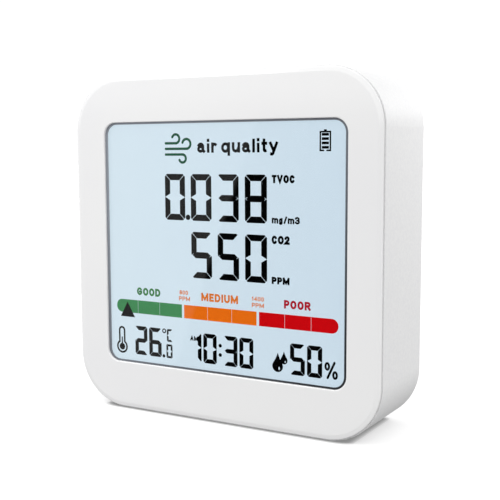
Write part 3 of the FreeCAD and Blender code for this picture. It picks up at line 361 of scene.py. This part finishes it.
def arc_points(x, z, radius, start, end, steps=24, radius_z=None):
    """Points on an arc, angles in degrees."""
    radius_z = radius if radius_z is None else radius_z
    angles = [math.radians(start + (end - start) * i / steps) for i in range(steps + 1)]
    return [(x + radius * math.cos(a), z + radius_z * math.sin(a)) for a in angles]


def disc(x, z, radius_x, radius_z=None):
    return arc_points(x, z, radius_x, 0, 360, 32, radius_z)[:-1]


def rectangle(x, z, width, height):
    """Corners of an upright rectangle from its low left corner."""
    return [(x, z), (x + width, z), (x + width, z + height), (x, z + height)]


def stroke(points, width, cap="round"):
    """Quads that together cover a line of even width drawn along points, mitred at its corners."""
    half = width / 2
    points = [Vector(p) for p in points]
    points = points[:1] + [q for p, q in zip(points, points[1:]) if (q - p).length > 0.01]
    closed = (points[0] - points[-1]).length < 1e-6
    if closed:
        points.pop()
    elif cap == "square":
        points[0] = points[0] + (points[0] - points[1]).normalized() * half
        points[-1] = points[-1] + (points[-1] - points[-2]).normalized() * half
    count = len(points)
    steps = [(points[(i + 1) % count] - points[i]).normalized() for i in range(count)]
    sides = []
    for index in range(count):
        ahead = steps[index] if closed or index < count - 1 else steps[index - 1]
        behind = steps[index - 1] if closed or index else steps[index]
        mitre = (ahead + behind).normalized()
        reach = half / max(mitre.dot(ahead), 0.4)
        sides.append(Vector((-mitre.y, mitre.x)) * reach)
    pieces = []
    for index in range(count if closed else count - 1):
        after = (index + 1) % count
        pieces.append([points[index] - sides[index], points[after] - sides[after],
                       points[after] + sides[after], points[index] + sides[index]])
    if cap == "round" and not closed:
        for end, way in ((points[0], -steps[0]), (points[-1], steps[-2])):
            facing = math.degrees(math.atan2(way.y, way.x))
            pieces.append(arc_points(end.x, end.y, half, facing - 90, facing + 90, 10))
    return pieces


def covers(outline, x, z):
    """True if a closed outline goes round the point."""
    inside = False
    for (x1, z1), (x2, z2) in zip(outline, outline[1:] + outline[:1]):
        if (z1 > z) != (z2 > z) and x < x1 + (x2 - x1) * (z - z1) / (z2 - z1):
            inside = not inside
    return inside


def flat_solid(shapes, thick, holes=()):
    """One thin solid that covers all the shapes and leaves the holes open, seen from +Z."""
    outlines = [list(shape) for shape in shapes] + [list(hole) for hole in holes]
    corners, faces = [], []
    for outline in outlines:
        turn = sum(p[0] * q[1] - q[0] * p[1] for p, q in zip(outline, outline[1:] + outline[:1]))
        first = len(corners)
        corners += [Vector(p) for p in (outline if turn > 0 else reversed(outline))]
        faces.append(list(range(first, len(corners))))
    points, _, triangles, _, _, _ = delaunay_2d_cdt(corners, [], faces, 1, 1e-5)
    boxed = [(min(x for x, _ in o), max(x for x, _ in o), o) for o in outlines]

    def solid(triangle):
        x, z = sum((points[i] for i in triangle), Vector((0, 0))) / 3
        hit = [index for index, (low, high, outline) in enumerate(boxed)
               if low < x < high and covers(outline, x, z)]
        return bool(hit) and hit[-1] < len(shapes)

    mesh = bmesh.new()
    front = [mesh.verts.new((p.x, p.y, thick / 2)) for p in points]
    back = [mesh.verts.new((p.x, p.y, -thick / 2)) for p in points]
    kept = [triangle for triangle in triangles if solid(triangle)]
    edges = {(u, v) for t in kept for u, v in zip(t, t[1:] + t[:1])}
    for triangle in kept:
        mesh.faces.new([front[i] for i in triangle])
        mesh.faces.new([back[i] for i in reversed(triangle)])
    for u, v in sorted(edges):
        if (v, u) not in edges:
            mesh.faces.new((front[v], front[u], back[u], back[v]))
    loose = [v for v in mesh.verts if not v.link_faces]
    bmesh.ops.delete(mesh, geom=loose, context="VERTS")
    return mesh


# ---- plain bold letters ----------------------------------------------------------------------

def arc(u, v, ru, rv, start, end):
    return arc_points(u, v, ru, start, end, 20, rv)


GLYPHS = {
    # character: (width over capital height, strokes in a box one capital high)
    "T": (0.68, [[(0, 1), (1, 1)], [(0.5, 0), (0.5, 1)]]),
    "V": (0.82, [[(0, 1), (0.5, 0), (1, 1)]]),
    "O": (0.8, [arc(0.5, 0.5, 0.5, 0.5, 0, 360)]),
    "C": (0.74, [arc(0.5, 0.5, 0.5, 0.5, 42, 318)]),
    "G": (0.8, [arc(0.5, 0.5, 0.5, 0.5, 42, 338), [(0.96, 0.3), (0.96, 0.46), (0.55, 0.46)]]),
    "D": (0.76, [[(0, 0), (0, 1), (0.4, 1)] + arc(0.4, 0.5, 0.6, 0.5, 90, -90) + [(0, 0)]]),
    "P": (0.7, [[(0, 0), (0, 1), (0.55, 1)] + arc(0.55, 0.72, 0.45, 0.28, 90, -90) + [(0, 0.44)]]),
    "R": (0.76, [[(0, 0), (0, 1), (0.55, 1)] + arc(0.55, 0.74, 0.42, 0.26, 90, -90) + [(0, 0.48)],
                 [(0.5, 0.48), (1, 0)]]),
    "E": (0.62, [[(1, 1), (0, 1), (0, 0), (1, 0)], [(0, 0.52), (0.85, 0.52)]]),
    "I": (0.24, [[(0.5, 0), (0.5, 1)]]),
    "U": (0.76, [[(0, 1), (0, 0.4)] + arc(0.5, 0.4, 0.5, 0.4, 180, 360) + [(1, 1)]]),
    "M": (0.95, [[(0, 0), (0, 1)], [(1, 0), (1, 1)], [(0, 1), (0.5, 0.12), (1, 1)]]),
    "A": (0.8, [[(0, 0), (0.5, 1), (1, 0)], [(0.2, 0.3), (0.8, 0.3)]]),
    "0": (0.7, [arc(0.5, 0.5, 0.5, 0.5, 0, 360)]),
    "1": (0.45, [[(0.7, 0), (0.7, 1), (0, 0.7)]]),
    "2": (0.7, [arc(0.5, 0.72, 0.48, 0.28, 165, -30) + [(0, 0), (1, 0)]]),
    "3": (0.7, [arc(0.42, 0.75, 0.5, 0.25, 155, -90), arc(0.45, 0.25, 0.52, 0.26, 90, -155)]),
    "4": (0.74, [[(0.75, 0), (0.75, 1), (0, 0.28), (1, 0.28)]]),
    "8": (0.7, [arc(0.5, 0.77, 0.42, 0.23, 0, 360), arc(0.5, 0.26, 0.5, 0.26, 0, 360)]),
    "/": (0.5, [[(0, 0), (1, 1)]]),
    " ": (0.04, []),
    "a": (0.66, [arc(0.4, 0.22, 0.4, 0.22, 0, 360),
                 arc(0.42, 0.45, 0.42, 0.25, 150, 0) + [(0.84, 0.12), (1, 0)]]),
    "g": (0.58, [arc(0.42, 0.34, 0.42, 0.32, 0, 360),
                 [(0.86, 0.7), (0.86, 0)] + arc(0.42, 0, 0.44, 0.24, 0, -150)]),
    "i": (0.21, [[(0.5, 0), (0.5, 0.62)], [(0.5, 1.03), (0.5, 1.06)]]),
    "l": (0.21, [[(0.5, 0), (0.5, 1)]]),
    "m": (0.94, [[(0, 0), (0, 0.7)], [(0, 0.4)] + arc(0.25, 0.44, 0.25, 0.24, 180, 0) + [(0.5, 0)],
                 [(0.5, 0.4)] + arc(0.75, 0.44, 0.25, 0.24, 180, 0) + [(1, 0)]]),
    "q": (0.72, [arc(0.46, 0.34, 0.46, 0.36, 0, 360), [(1, 0.7), (1, -0.3)]]),
    "r": (0.48, [[(0, 0), (0, 0.7)], [(0, 0.4)] + arc(0.62, 0.36, 0.6, 0.32, 160, 62)]),
    "t": (0.44, [[(0.4, 1), (0.4, 0.16)] + arc(0.74, 0.16, 0.34, 0.16, 180, 285),
                 [(0, 0.7), (1, 0.7)]]),
    "u": (0.66, [[(0, 0.7), (0, 0.3)] + arc(0.44, 0.3, 0.44, 0.3, 180, 340), [(1, 0.7), (1, 0)]]),
    "y": (0.68, [[(0, 0.7), (0.52, 0.02)], [(1, 0.7), (0.46, -0.14)] + arc(0.2, -0.1, 0.28, 0.2, -30, -100)]),
}


def lettering(words, x, z, height, width, weight, gap=0.12):
    """Strokes of a line of letters, capitals as high as height, set to a width from low left."""
    widths = [GLYPHS[c][0] for c in words]
    fit = width / (sum(widths) + gap * (len(words) - 1))
    shapes = []
    for character, part in zip(words, widths):
        inner_x, inner_z = part * fit - weight, height - weight
        for path in GLYPHS[character][1]:
            placed = [(x + weight / 2 + u * inner_x, z + weight / 2 + v * inner_z) for u, v in path]
            shapes += stroke(placed, weight, "square")
        x += (part + gap) * fit
    return shapes


def lay_flat(name, flat, depth, material, body="case", facing=-1):
    """Stand a flat solid, drawn in millimetres, upright at y = depth, seen from -Y or +Y."""
    sense = 1 if facing < 0 else -1
    upright = Matrix(((MM * sense, 0, 0, 0), (0, 0, MM * facing, depth), (0, MM, 0, 0), (0, 0, 0, 1)))
    flat.transform(upright)
    target = bpy.data.meshes.new(name)
    flat.to_mesh(target)
    flat.free()
    target.materials.append(material)
    piece = bpy.data.objects.new(name, target)
    scene.collection.objects.link(piece)
    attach(piece, body)
    return piece


# ---- the picture on the display --------------------------------------------------------------

PRINT_THICK = 0.012
PRINT_LIFT = 0.02
film_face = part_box("front_polariser")[0].y


def digit_shapes(lit, x, z, width, height, bar, gap):
    """The lit segments of one digit, from its low left corner; a to g as on any such digit."""
    chamfer = 0.42 * bar
    near = chamfer / 2 - gap / (2 * math.sqrt(2))
    far = chamfer / 2 + gap / (2 * math.sqrt(2))
    half = height / 2
    inset = bar + gap * 0.7
    top = [(chamfer, height), (width - chamfer, height), (width - chamfer + near, height - near),
           (width - inset, height - bar), (inset, height - bar), (chamfer - near, height - near)]
    upper = [(width - chamfer + far, height - far), (width, height - chamfer), (width, half + gap / 2),
             (width - 0.1 * bar, half + gap / 2), (width - bar, half + gap / 2 + 0.5 * bar),
             (width - bar, height - inset)]
    tip, slope = 0.2 * bar, 0.5 * bar
    near_end = tip + slope + 0.1 * bar
    far_end = width - tip - slope - 0.1 * bar
    middle = [(tip, half), (near_end, half + slope), (far_end, half + slope), (width - tip, half),
              (far_end, half - slope), (near_end, half - slope)]
    shapes = {
        "a": top,
        "b": upper,
        "c": [(u, height - v) for u, v in upper],
        "d": [(u, height - v) for u, v in top],
        "e": [(width - u, height - v) for u, v in upper],
        "f": [(width - u, v) for u, v in upper],
        "g": middle,
    }
    return [[(x + u, z + v) for u, v in shapes[name]] for name in lit]


SEGMENTS = {"0": "abcdef", "1": "bc", "2": "abged", "3": "abgcd", "5": "afgcd", "6": "afgedc",
            "8": "abcdefg", "C": "afed"}


def number_shapes(digits, right, z, width, height, pitch, bar, gap):
    """A row of digits that ends at right."""
    shapes = []
    for index, digit in enumerate(reversed(digits)):
        left = right - width - index * pitch
        shapes += digit_shapes(SEGMENTS[digit], left, z, width, height, bar, gap)
    return shapes


def digits_shapes():
    large = {"width": 5.78, "height": 11.1, "pitch": 7.42, "bar": 1.5, "gap": 0.11}
    small = {"width": 3.75, "height": 7.25, "pitch": 4.3, "bar": 1.06, "gap": 0.06}
    tiny = {"width": 1.8, "height": 3.45, "pitch": 2.5, "bar": 0.52, "gap": 0.04}
    shapes = number_shapes("0038", 12.65, 47.65, **large) + number_shapes("550", 12.65, 33.9, **large)
    for digits, right in (("26", -17.15), ("10", -1.1), ("30", 8.95), ("50", 26.6)):
        shapes += number_shapes(digits, right, 13.4, **small)
    shapes += number_shapes("0", -13.9, 13.45, **tiny)
    shapes += number_shapes("C", -13.85, 17.55, width=1.65, height=3.15, pitch=2.5, bar=0.5, gap=0.04)
    shapes += [disc(x, z, r) for x, z, r in (
        (-8.83, 48.42, 0.66), (-16.5, 13.85, 0.42), (-0.1, 18.1, 0.45), (-0.1, 15.85, 0.45))]
    shapes += stroke(arc_points(-16.3, 20.15, 0.45, 0, 360, 20), 0.3)
    return shapes


def percent_shapes():
    shapes = stroke([(27.95, 13.75), (29.6, 17.3)], 0.54)
    for x, z in ((27.85, 16.35), (29.75, 14.5)):
        shapes += stroke(arc_points(x, z, 0.43, 0, 360, 20, 0.72), 0.52)
    return shapes


def battery_shapes():
    left, right, low, high, line = 25.9, 28.3, 64.1, 68.15, 0.36
    outline = [(27.5, low), (right, low), (right, high), (left, high), (left, low), (26.7, low)]
    bars = [rectangle(26.25, 64.47 + 0.935 * i, 1.7, 0.6) for i in range(4)]
    return stroke(outline, line) + bars + [rectangle(26.75, high, 0.7, 0.5)]


def thermometer_shapes():
    x, bulb, line = -29.35, 14.95, 0.48
    tube, ball = 0.78, 1.46
    opening = math.degrees(math.asin(tube / ball))
    outline = arc_points(x, 19.15, tube, 180, 0, 16)
    outline += arc_points(x, bulb, ball, 90 - opening, 90 - 360 + opening, 40)
    outline.append(outline[0])
    return stroke(outline, line) + [disc(x, bulb, 0.86)] + stroke([(x, bulb), (x, 17.3)], 0.36)


def drop(x, z, radius, tip_x, tip_z):
    """A drop: a round body that runs up to a point."""
    points = arc_points(x, z, radius, 150, 390, 30)
    waist = [(tip_x + (p[0] - tip_x) * 0.45, tip_z + (p[1] - tip_z) * 0.55) for p in (points[-1], points[0])]
    return points + [waist[0], (tip_x, tip_z), waist[1]]


def wind_shapes():
    """Three gusts, each a line that ends in a curl."""
    left, line = -15.0, 0.6
    high = [(left, 66.05), (-13.5, 66.05)] + arc_points(-12.1, 67.1, 1.05, -90, 157)
    middle = [(left, 64.72), (-12.0, 64.72)] + arc_points(-9.05, 65.87, 1.15, -90, 165)
    low = [(left, 63.37), (-12.5, 63.37)] + arc_points(-10.2, 62.42, 0.95, 90, -158)
    return stroke(high, line) + stroke(middle, line) + stroke(low, line)


def scale_cells(left, right, round_left, round_right):
    """Three cells of one colour; the outer end of an end block is round."""
    low, high, line, radius = 23.85, 27.15, 0.07, 1.6
    pitch = (right - left) / 3
    cells = []
    for index in range(3):
        start = left + index * pitch + (line / 2 if index else 0)
        end = left + (index + 1) * pitch - (line / 2 if index < 2 else 0)
        outline = rectangle(start, low, end - start, high - low)
        if round_left and index == 0:
            outline = [(end, low), (end, high)]
            outline += arc_points(start + radius, high - radius, radius, 90, 180, 12)
            outline += arc_points(start + radius, low + radius, radius, 180, 270, 12)
        if round_right and index == 2:
            outline = [(start, high), (start, low)]
            outline += arc_points(end - radius, low + radius, radius, -90, 0, 12)
            outline += arc_points(end - radius, high - radius, radius, 0, 90, 12)
        cells.append(outline)
    return cells


# Where the drawing stands behind the window: moved by a few tenths of a millimetre, a little
# smaller than drawn, and slanted and bent by less than 0.2 mm.
SHIFT_X, SHIFT_Z = 0.24, 0.387
SCALE_X, SCALE_Z = 0.9832, 0.9884
SLANT_X, SLANT_Z = -0.0019, -0.0022
BEND_X_WITH_X, BEND_X_WITH_Z, BEND_Z = 6.7e-5, 4.6e-5, 6.7e-5


def in_window(shapes):
    """Shapes of the drawing, scaled and moved to their place behind the window."""
    def moved(x, z):
        bend = (BEND_X_WITH_Z * z + BEND_X_WITH_X * x) * x
        across = SHIFT_X + SCALE_X * x + SLANT_X * z + bend
        return across, SHIFT_Z + SCALE_Z * z + SLANT_Z * x + BEND_Z * x * z
    return [[moved(x, z) for x, z in shape] for shape in shapes]


def words(entries):
    return [shape for entry in entries for shape in lettering(*entry)]


def make_picture():
    black = ink("ink_black", 6, 7, 10, glow=0.0)
    green = ink("ink_green", 62, 138, 84)
    deep_green = ink("ink_deep_green", 28, 84, 60)
    soft_green = ink("ink_soft_green", 60, 125, 70)
    orange = ink("ink_orange", 236, 112, 20)
    soft_orange = ink("ink_soft_orange", 222, 122, 54)
    red = ink("ink_red", 206, 8, 16)
    deep_red = ink("ink_deep_red", 176, 30, 48)
    face = film_face - PRINT_LIFT * MM
    drops = [drop(15.35, 14.95, 1.38, 15.4, 18.1), drop(17.0, 16.45, 0.9, 16.98, 18.55)]
    glints = [disc(15.75, 14.45, 0.19, 0.38), disc(17.3, 16.15, 0.12, 0.24)]
    blocks = (("green", green, -30.75, -10.95, True, False), ("orange", orange, -10.3, 9.85, False, False),
              ("red", red, 10.5, 30.5, False, True))
    layers = [
        ("lcd_digits", digits_shapes() + percent_shapes(), (), black),
        ("lcd_icons", battery_shapes() + thermometer_shapes() + drops, glints, black),
        ("lcd_wind_icon", wind_shapes(), (), deep_green),
        ("lcd_title", words([("air quality", -6.0, 63.75, 3.1, 21.5, 0.68, 0.15)]), (), black),
        ("lcd_units", words([
            ("TVOC", 13.9, 56.85, 1.85, 5.8, 0.54, 0.08), ("mg/m3", 13.9, 47.75, 1.65, 7.1, 0.42, 0.1),
            ("CO2", 13.85, 43.05, 1.95, 4.6, 0.56, 0.08), ("PPM", 13.85, 33.9, 1.65, 4.55, 0.5, 0.08),
            ("AM", -8.6, 18.55, 1.1, 2.2, 0.32)]), (), black),
        ("lcd_word_good", words([("GOOD", -24.4, 28.5, 1.95, 7.1, 0.5)]), (), soft_green),
        ("lcd_word_medium", words([("MEDIUM", -5.3, 28.5, 1.95, 10.2, 0.5)]), (), soft_orange),
        ("lcd_word_poor", words([("POOR", 17.0, 28.5, 1.95, 6.7, 0.5)]), (), deep_red),
        ("lcd_limits", words([
            ("800", -11.6, 29.6, 1.05, 2.5, 0.22), ("PPM", -11.75, 28.1, 1.05, 3.2, 0.22),
            ("1400", 8.6, 29.6, 1.05, 3.2, 0.22), ("PPM", 8.6, 28.1, 1.05, 3.2, 0.22)]), (), soft_orange),
    ]
    layers += [(f"lcd_scale_{name}", scale_cells(left, right, near_end, far_end), (), colour)
               for name, colour, left, right, near_end, far_end in blocks]
    for name, shapes, holes, material in layers:
        solid = flat_solid(in_window(shapes), PRINT_THICK, in_window(holes))
        lay_flat(name, solid, face, material)
    pointer = [[(-29.6, 22.75), (-25.15, 22.75), (-27.4, 26.6)]]
    lay_flat("lcd_scale_pointer", flat_solid(in_window(pointer), PRINT_THICK), face - PRINT_LIFT * MM, black)


make_picture()


# ---- small parts on the outside --------------------------------------------------------------

def button_marks():
    """Printed marks on the four caps: a ring, up, down and a lamp."""
    rays = [math.radians(45 * i) for i in range(8)]
    marks = {
        "set": stroke(arc_points(0, 0, 1.1, 0, 360), 0.35) + [disc(0, 0, 0.35)],
        "up": [[(-1.25, -0.8), (1.25, -0.8), (0, 1.25)]],
        "down": [[(-1.25, 0.8), (0, -1.25), (1.25, 0.8)]],
        "light": [disc(0, 0, 0.6)],
    }
    for ray in rays:
        marks["light"] += stroke([(r * math.cos(ray), r * math.sin(ray)) for r in (0.95, 1.5)], 0.26)
    for name, shapes in marks.items():
        low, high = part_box(f"button_{name}")
        centre = (low + high) / 2 / MM
        placed = [[(u - centre.x, centre.z + v) for u, v in shape] for shape in shapes]
        lay_flat(f"mark_{name}", flat_solid(placed, 0.04), high.y, button_print, f"{name}_button",
                 1)


button_marks()


# ---- stage, light and camera -----------------------------------------------------------------

FLOOR_ALBEDO, FLOOR_GLOW = 0.7, 0.4
CONTACT_REACH = 1.6 * MM    # how far from the monitor its contact shadow runs
CONTACT_DARK = 0.38         # the floor's share of its light right under the monitor's edge
BACKDROP = 1.05
SKY_DOWN, SKY_LEVEL, SKY_UP = 0.12, 1.08, 1.3
SKY_BEHIND, SKY_FRONT = 0.79, 1.092
CARD, PANEL = 0.01, 0.28
CARD_EDGE, CARD_CORE = 42, 24       # degrees from the card's middle: where it ends, where it is full
SLANT_TOP, SLANT_FOOT = 0.0145, -0.0155


def put(name, data, location, turn):
    """Put a lamp or the camera in the scene."""
    thing = bpy.data.objects.new(name, data)
    thing.location = location
    thing.rotation_mode = "QUATERNION"
    thing.rotation_quaternion = turn
    scene.collection.objects.link(thing)
    return thing


def area_light(name, location, target, width, height, watts):
    light = bpy.data.lights.new(name, "AREA")
    light.shape = "RECTANGLE"
    light.size = width
    light.size_y = height
    light.energy = watts
    turn = (Vector(target) - Vector(location)).to_track_quat("-Z", "Y")
    put(name, light, location, turn).visible_camera = False


def make_floor():
    """A wide pale floor with a contact shadow. It takes shadows but gives the monitor no light:
    the lower half of the sky stands in for it."""
    mesh = bpy.data.meshes.new("floor")
    size = 3.0
    corners = [(-size, -size, 0), (size, -size, 0), (size, size, 0), (-size, size, 0)]
    mesh.from_pydata(corners, [], [(0, 1, 2, 3)])
    paper_white = (FLOOR_ALBEDO, FLOOR_ALBEDO, FLOOR_ALBEDO, 1)
    paper = new_material("floor_paper", paper_white, 0.8, Specular_IOR_Level=0.0)
    open_air = add_node(paper, "ShaderNodeAmbientOcclusion", Distance=CONTACT_REACH)
    shade = add_node(paper, "ShaderNodeMapRange")
    shade.inputs["From Min"].default_value = 0.35
    shade.inputs["From Max"].default_value = 0.95
    shade.inputs["To Min"].default_value = CONTACT_DARK
    colour = add_node(paper, "ShaderNodeMix", data_type="RGBA", blend_type="MULTIPLY")
    colour.inputs["Factor"].default_value = 1.0
    colour.inputs[6].default_value = paper_white
    glow = add_node(paper, "ShaderNodeMath", operation="MULTIPLY")
    glow.inputs[1].default_value = FLOOR_GLOW
    join(paper, open_air, "AO", shade, "Value")
    paper.node_tree.links.new(shade.outputs["Result"], colour.inputs[7])
    paper.node_tree.links.new(colour.outputs[2], shader_of(paper).inputs["Base Color"])
    paper.node_tree.links.new(shade.outputs["Result"], glow.inputs[0])
    shader_of(paper).inputs["Emission Color"].default_value = (1, 1, 1, 1)
    join(paper, glow, "Value", shader_of(paper), "Emission Strength")
    mesh.materials.append(paper)
    floor = bpy.data.objects.new("floor", mesh)
    floor.location.z = cad_box[0].z - 0.00002
    floor.visible_diffuse = False
    floor.visible_glossy = False
    floor.visible_transmission = False
    floor.visible_shadow = False
    scene.collection.objects.link(floor)


def make_camera():
    """The viewer stands to the right of the monitor, a little below its top edge."""
    data = bpy.data.cameras.new("camera")
    data.sensor_width = 36
    data.lens = 67.654
    data.shift_x = 0.0512
    data.shift_y = 0.0052
    data.clip_start = 0.01
    data.clip_end = 20
    yaw, pitch, roll = (math.radians(a) for a in (31.053, 6.323, -0.357))
    turn = Matrix.Rotation(yaw, 4, "Z") @ Matrix.Rotation(math.pi / 2 - pitch, 4, "X")
    turn = turn @ Matrix.Rotation(roll, 4, "Z")
    viewpoint = (0.113033, cad_box[0].y - 0.184056, 0.064344)
    scene.camera = put("camera", data, viewpoint, turn.to_quaternion())


class Sky:
    """The studio round the object as radiance by direction."""

    def __init__(self):
        self.world = bpy.data.worlds.new("studio")
        self.world.use_nodes = True
        self.tree = self.world.node_tree
        coordinates = self.tree.nodes.new("ShaderNodeTexCoord")
        self.direction = coordinates.outputs["Generated"]

    def along(self, axis):
        """How far a direction points along an axis, from -1 to 1."""
        node = self.tree.nodes.new("ShaderNodeVectorMath")
        node.operation = "DOT_PRODUCT"
        self.tree.links.new(self.direction, node.inputs[0])
        node.inputs[1].default_value = Vector(axis).normalized()
        return node.outputs["Value"]

    def ramp(self, value, low, high, first, second):
        """A smooth change from first, at low, to second, at high. Numbers or sockets."""
        node = self.tree.nodes.new("ShaderNodeMapRange")
        node.interpolation_type = "SMOOTHSTEP"
        self.tree.links.new(value, node.inputs["Value"])
        for name, given in (("From Min", low), ("From Max", high), ("To Min", first), ("To Max", second)):
            if isinstance(given, (int, float)):
                node.inputs[name].default_value = given
            else:
                self.tree.links.new(given, node.inputs[name])
        return node.outputs["Result"]

    def times(self, first, second):
        """The product of two sockets."""
        node = self.tree.nodes.new("ShaderNodeMath")
        node.operation = "MULTIPLY"
        self.tree.links.new(first, node.inputs[0])
        self.tree.links.new(second, node.inputs[1])
        return node.outputs["Value"]

    def finish(self, radiance):
        self.tree.links.new(radiance, self.tree.nodes["Background"].inputs["Strength"])
        self.tree.nodes["Background"].inputs["Color"].default_value = (1, 1, 1, 1)
        scene.world = self.world


def make_world():
    """Soft light all round, with a dark card and a bright panel that mirror in the glossy front.

    The panel's straight edge is the slanting line across the front: it lies in the plane through
    the viewer's mirror image and the line from slant_top to slant_foot."""
    front = cad_box[0].y
    mirrored = scene.camera.location.copy()
    mirrored.y = 2 * front - mirrored.y
    slant_top = Vector((SLANT_TOP, front, 0.079))
    slant_foot = Vector((SLANT_FOOT, front, 0.002))
    panel_side = (slant_top - mirrored).cross(slant_foot - mirrored)
    if panel_side.x > 0:
        panel_side = -panel_side
    card_axis = Vector((0.015, front, 0.041)) - mirrored
    sky = Sky()
    lower = sky.ramp(sky.along((0, 0, 1)), -1.0, 0.0, SKY_DOWN, SKY_LEVEL)
    height = sky.ramp(sky.along((0, 0, 1)), 0.0, 1.0, lower, SKY_UP)
    front_part = sky.ramp(sky.along((0, -1, 0)), -0.1, 0.8, SKY_BEHIND, SKY_FRONT)
    plain = sky.times(height, front_part)
    edge, core = math.cos(math.radians(CARD_EDGE)), math.cos(math.radians(CARD_CORE))
    card = sky.ramp(sky.along(card_axis), edge, core, plain, CARD)
    panel = sky.ramp(sky.along(card_axis), edge, core, plain, PANEL)
    mirrored_part = sky.ramp(sky.along(panel_side), -0.002, 0.004, card, panel)
    above = sky.ramp(sky.along((0, 0, 1)), 0.03, 0.06, mirrored_part, plain)
    camera_ray = sky.tree.nodes.new("ShaderNodeLightPath").outputs["Is Camera Ray"]
    sky.finish(sky.ramp(camera_ray, 0.0, 1.0, above, BACKDROP))


make_floor()
make_camera()
make_world()
area_light("key_panel", (-0.22, -0.24, 0.30), (0, 0, 0.05), 0.2, 0.2, 0.5)
area_light("side_panel", (0.085, 0.064, 0.098), (0.041, 0.012, 0.07), 0.04, 0.04, 0.017)
scene.view_settings.view_transform = "Standard"
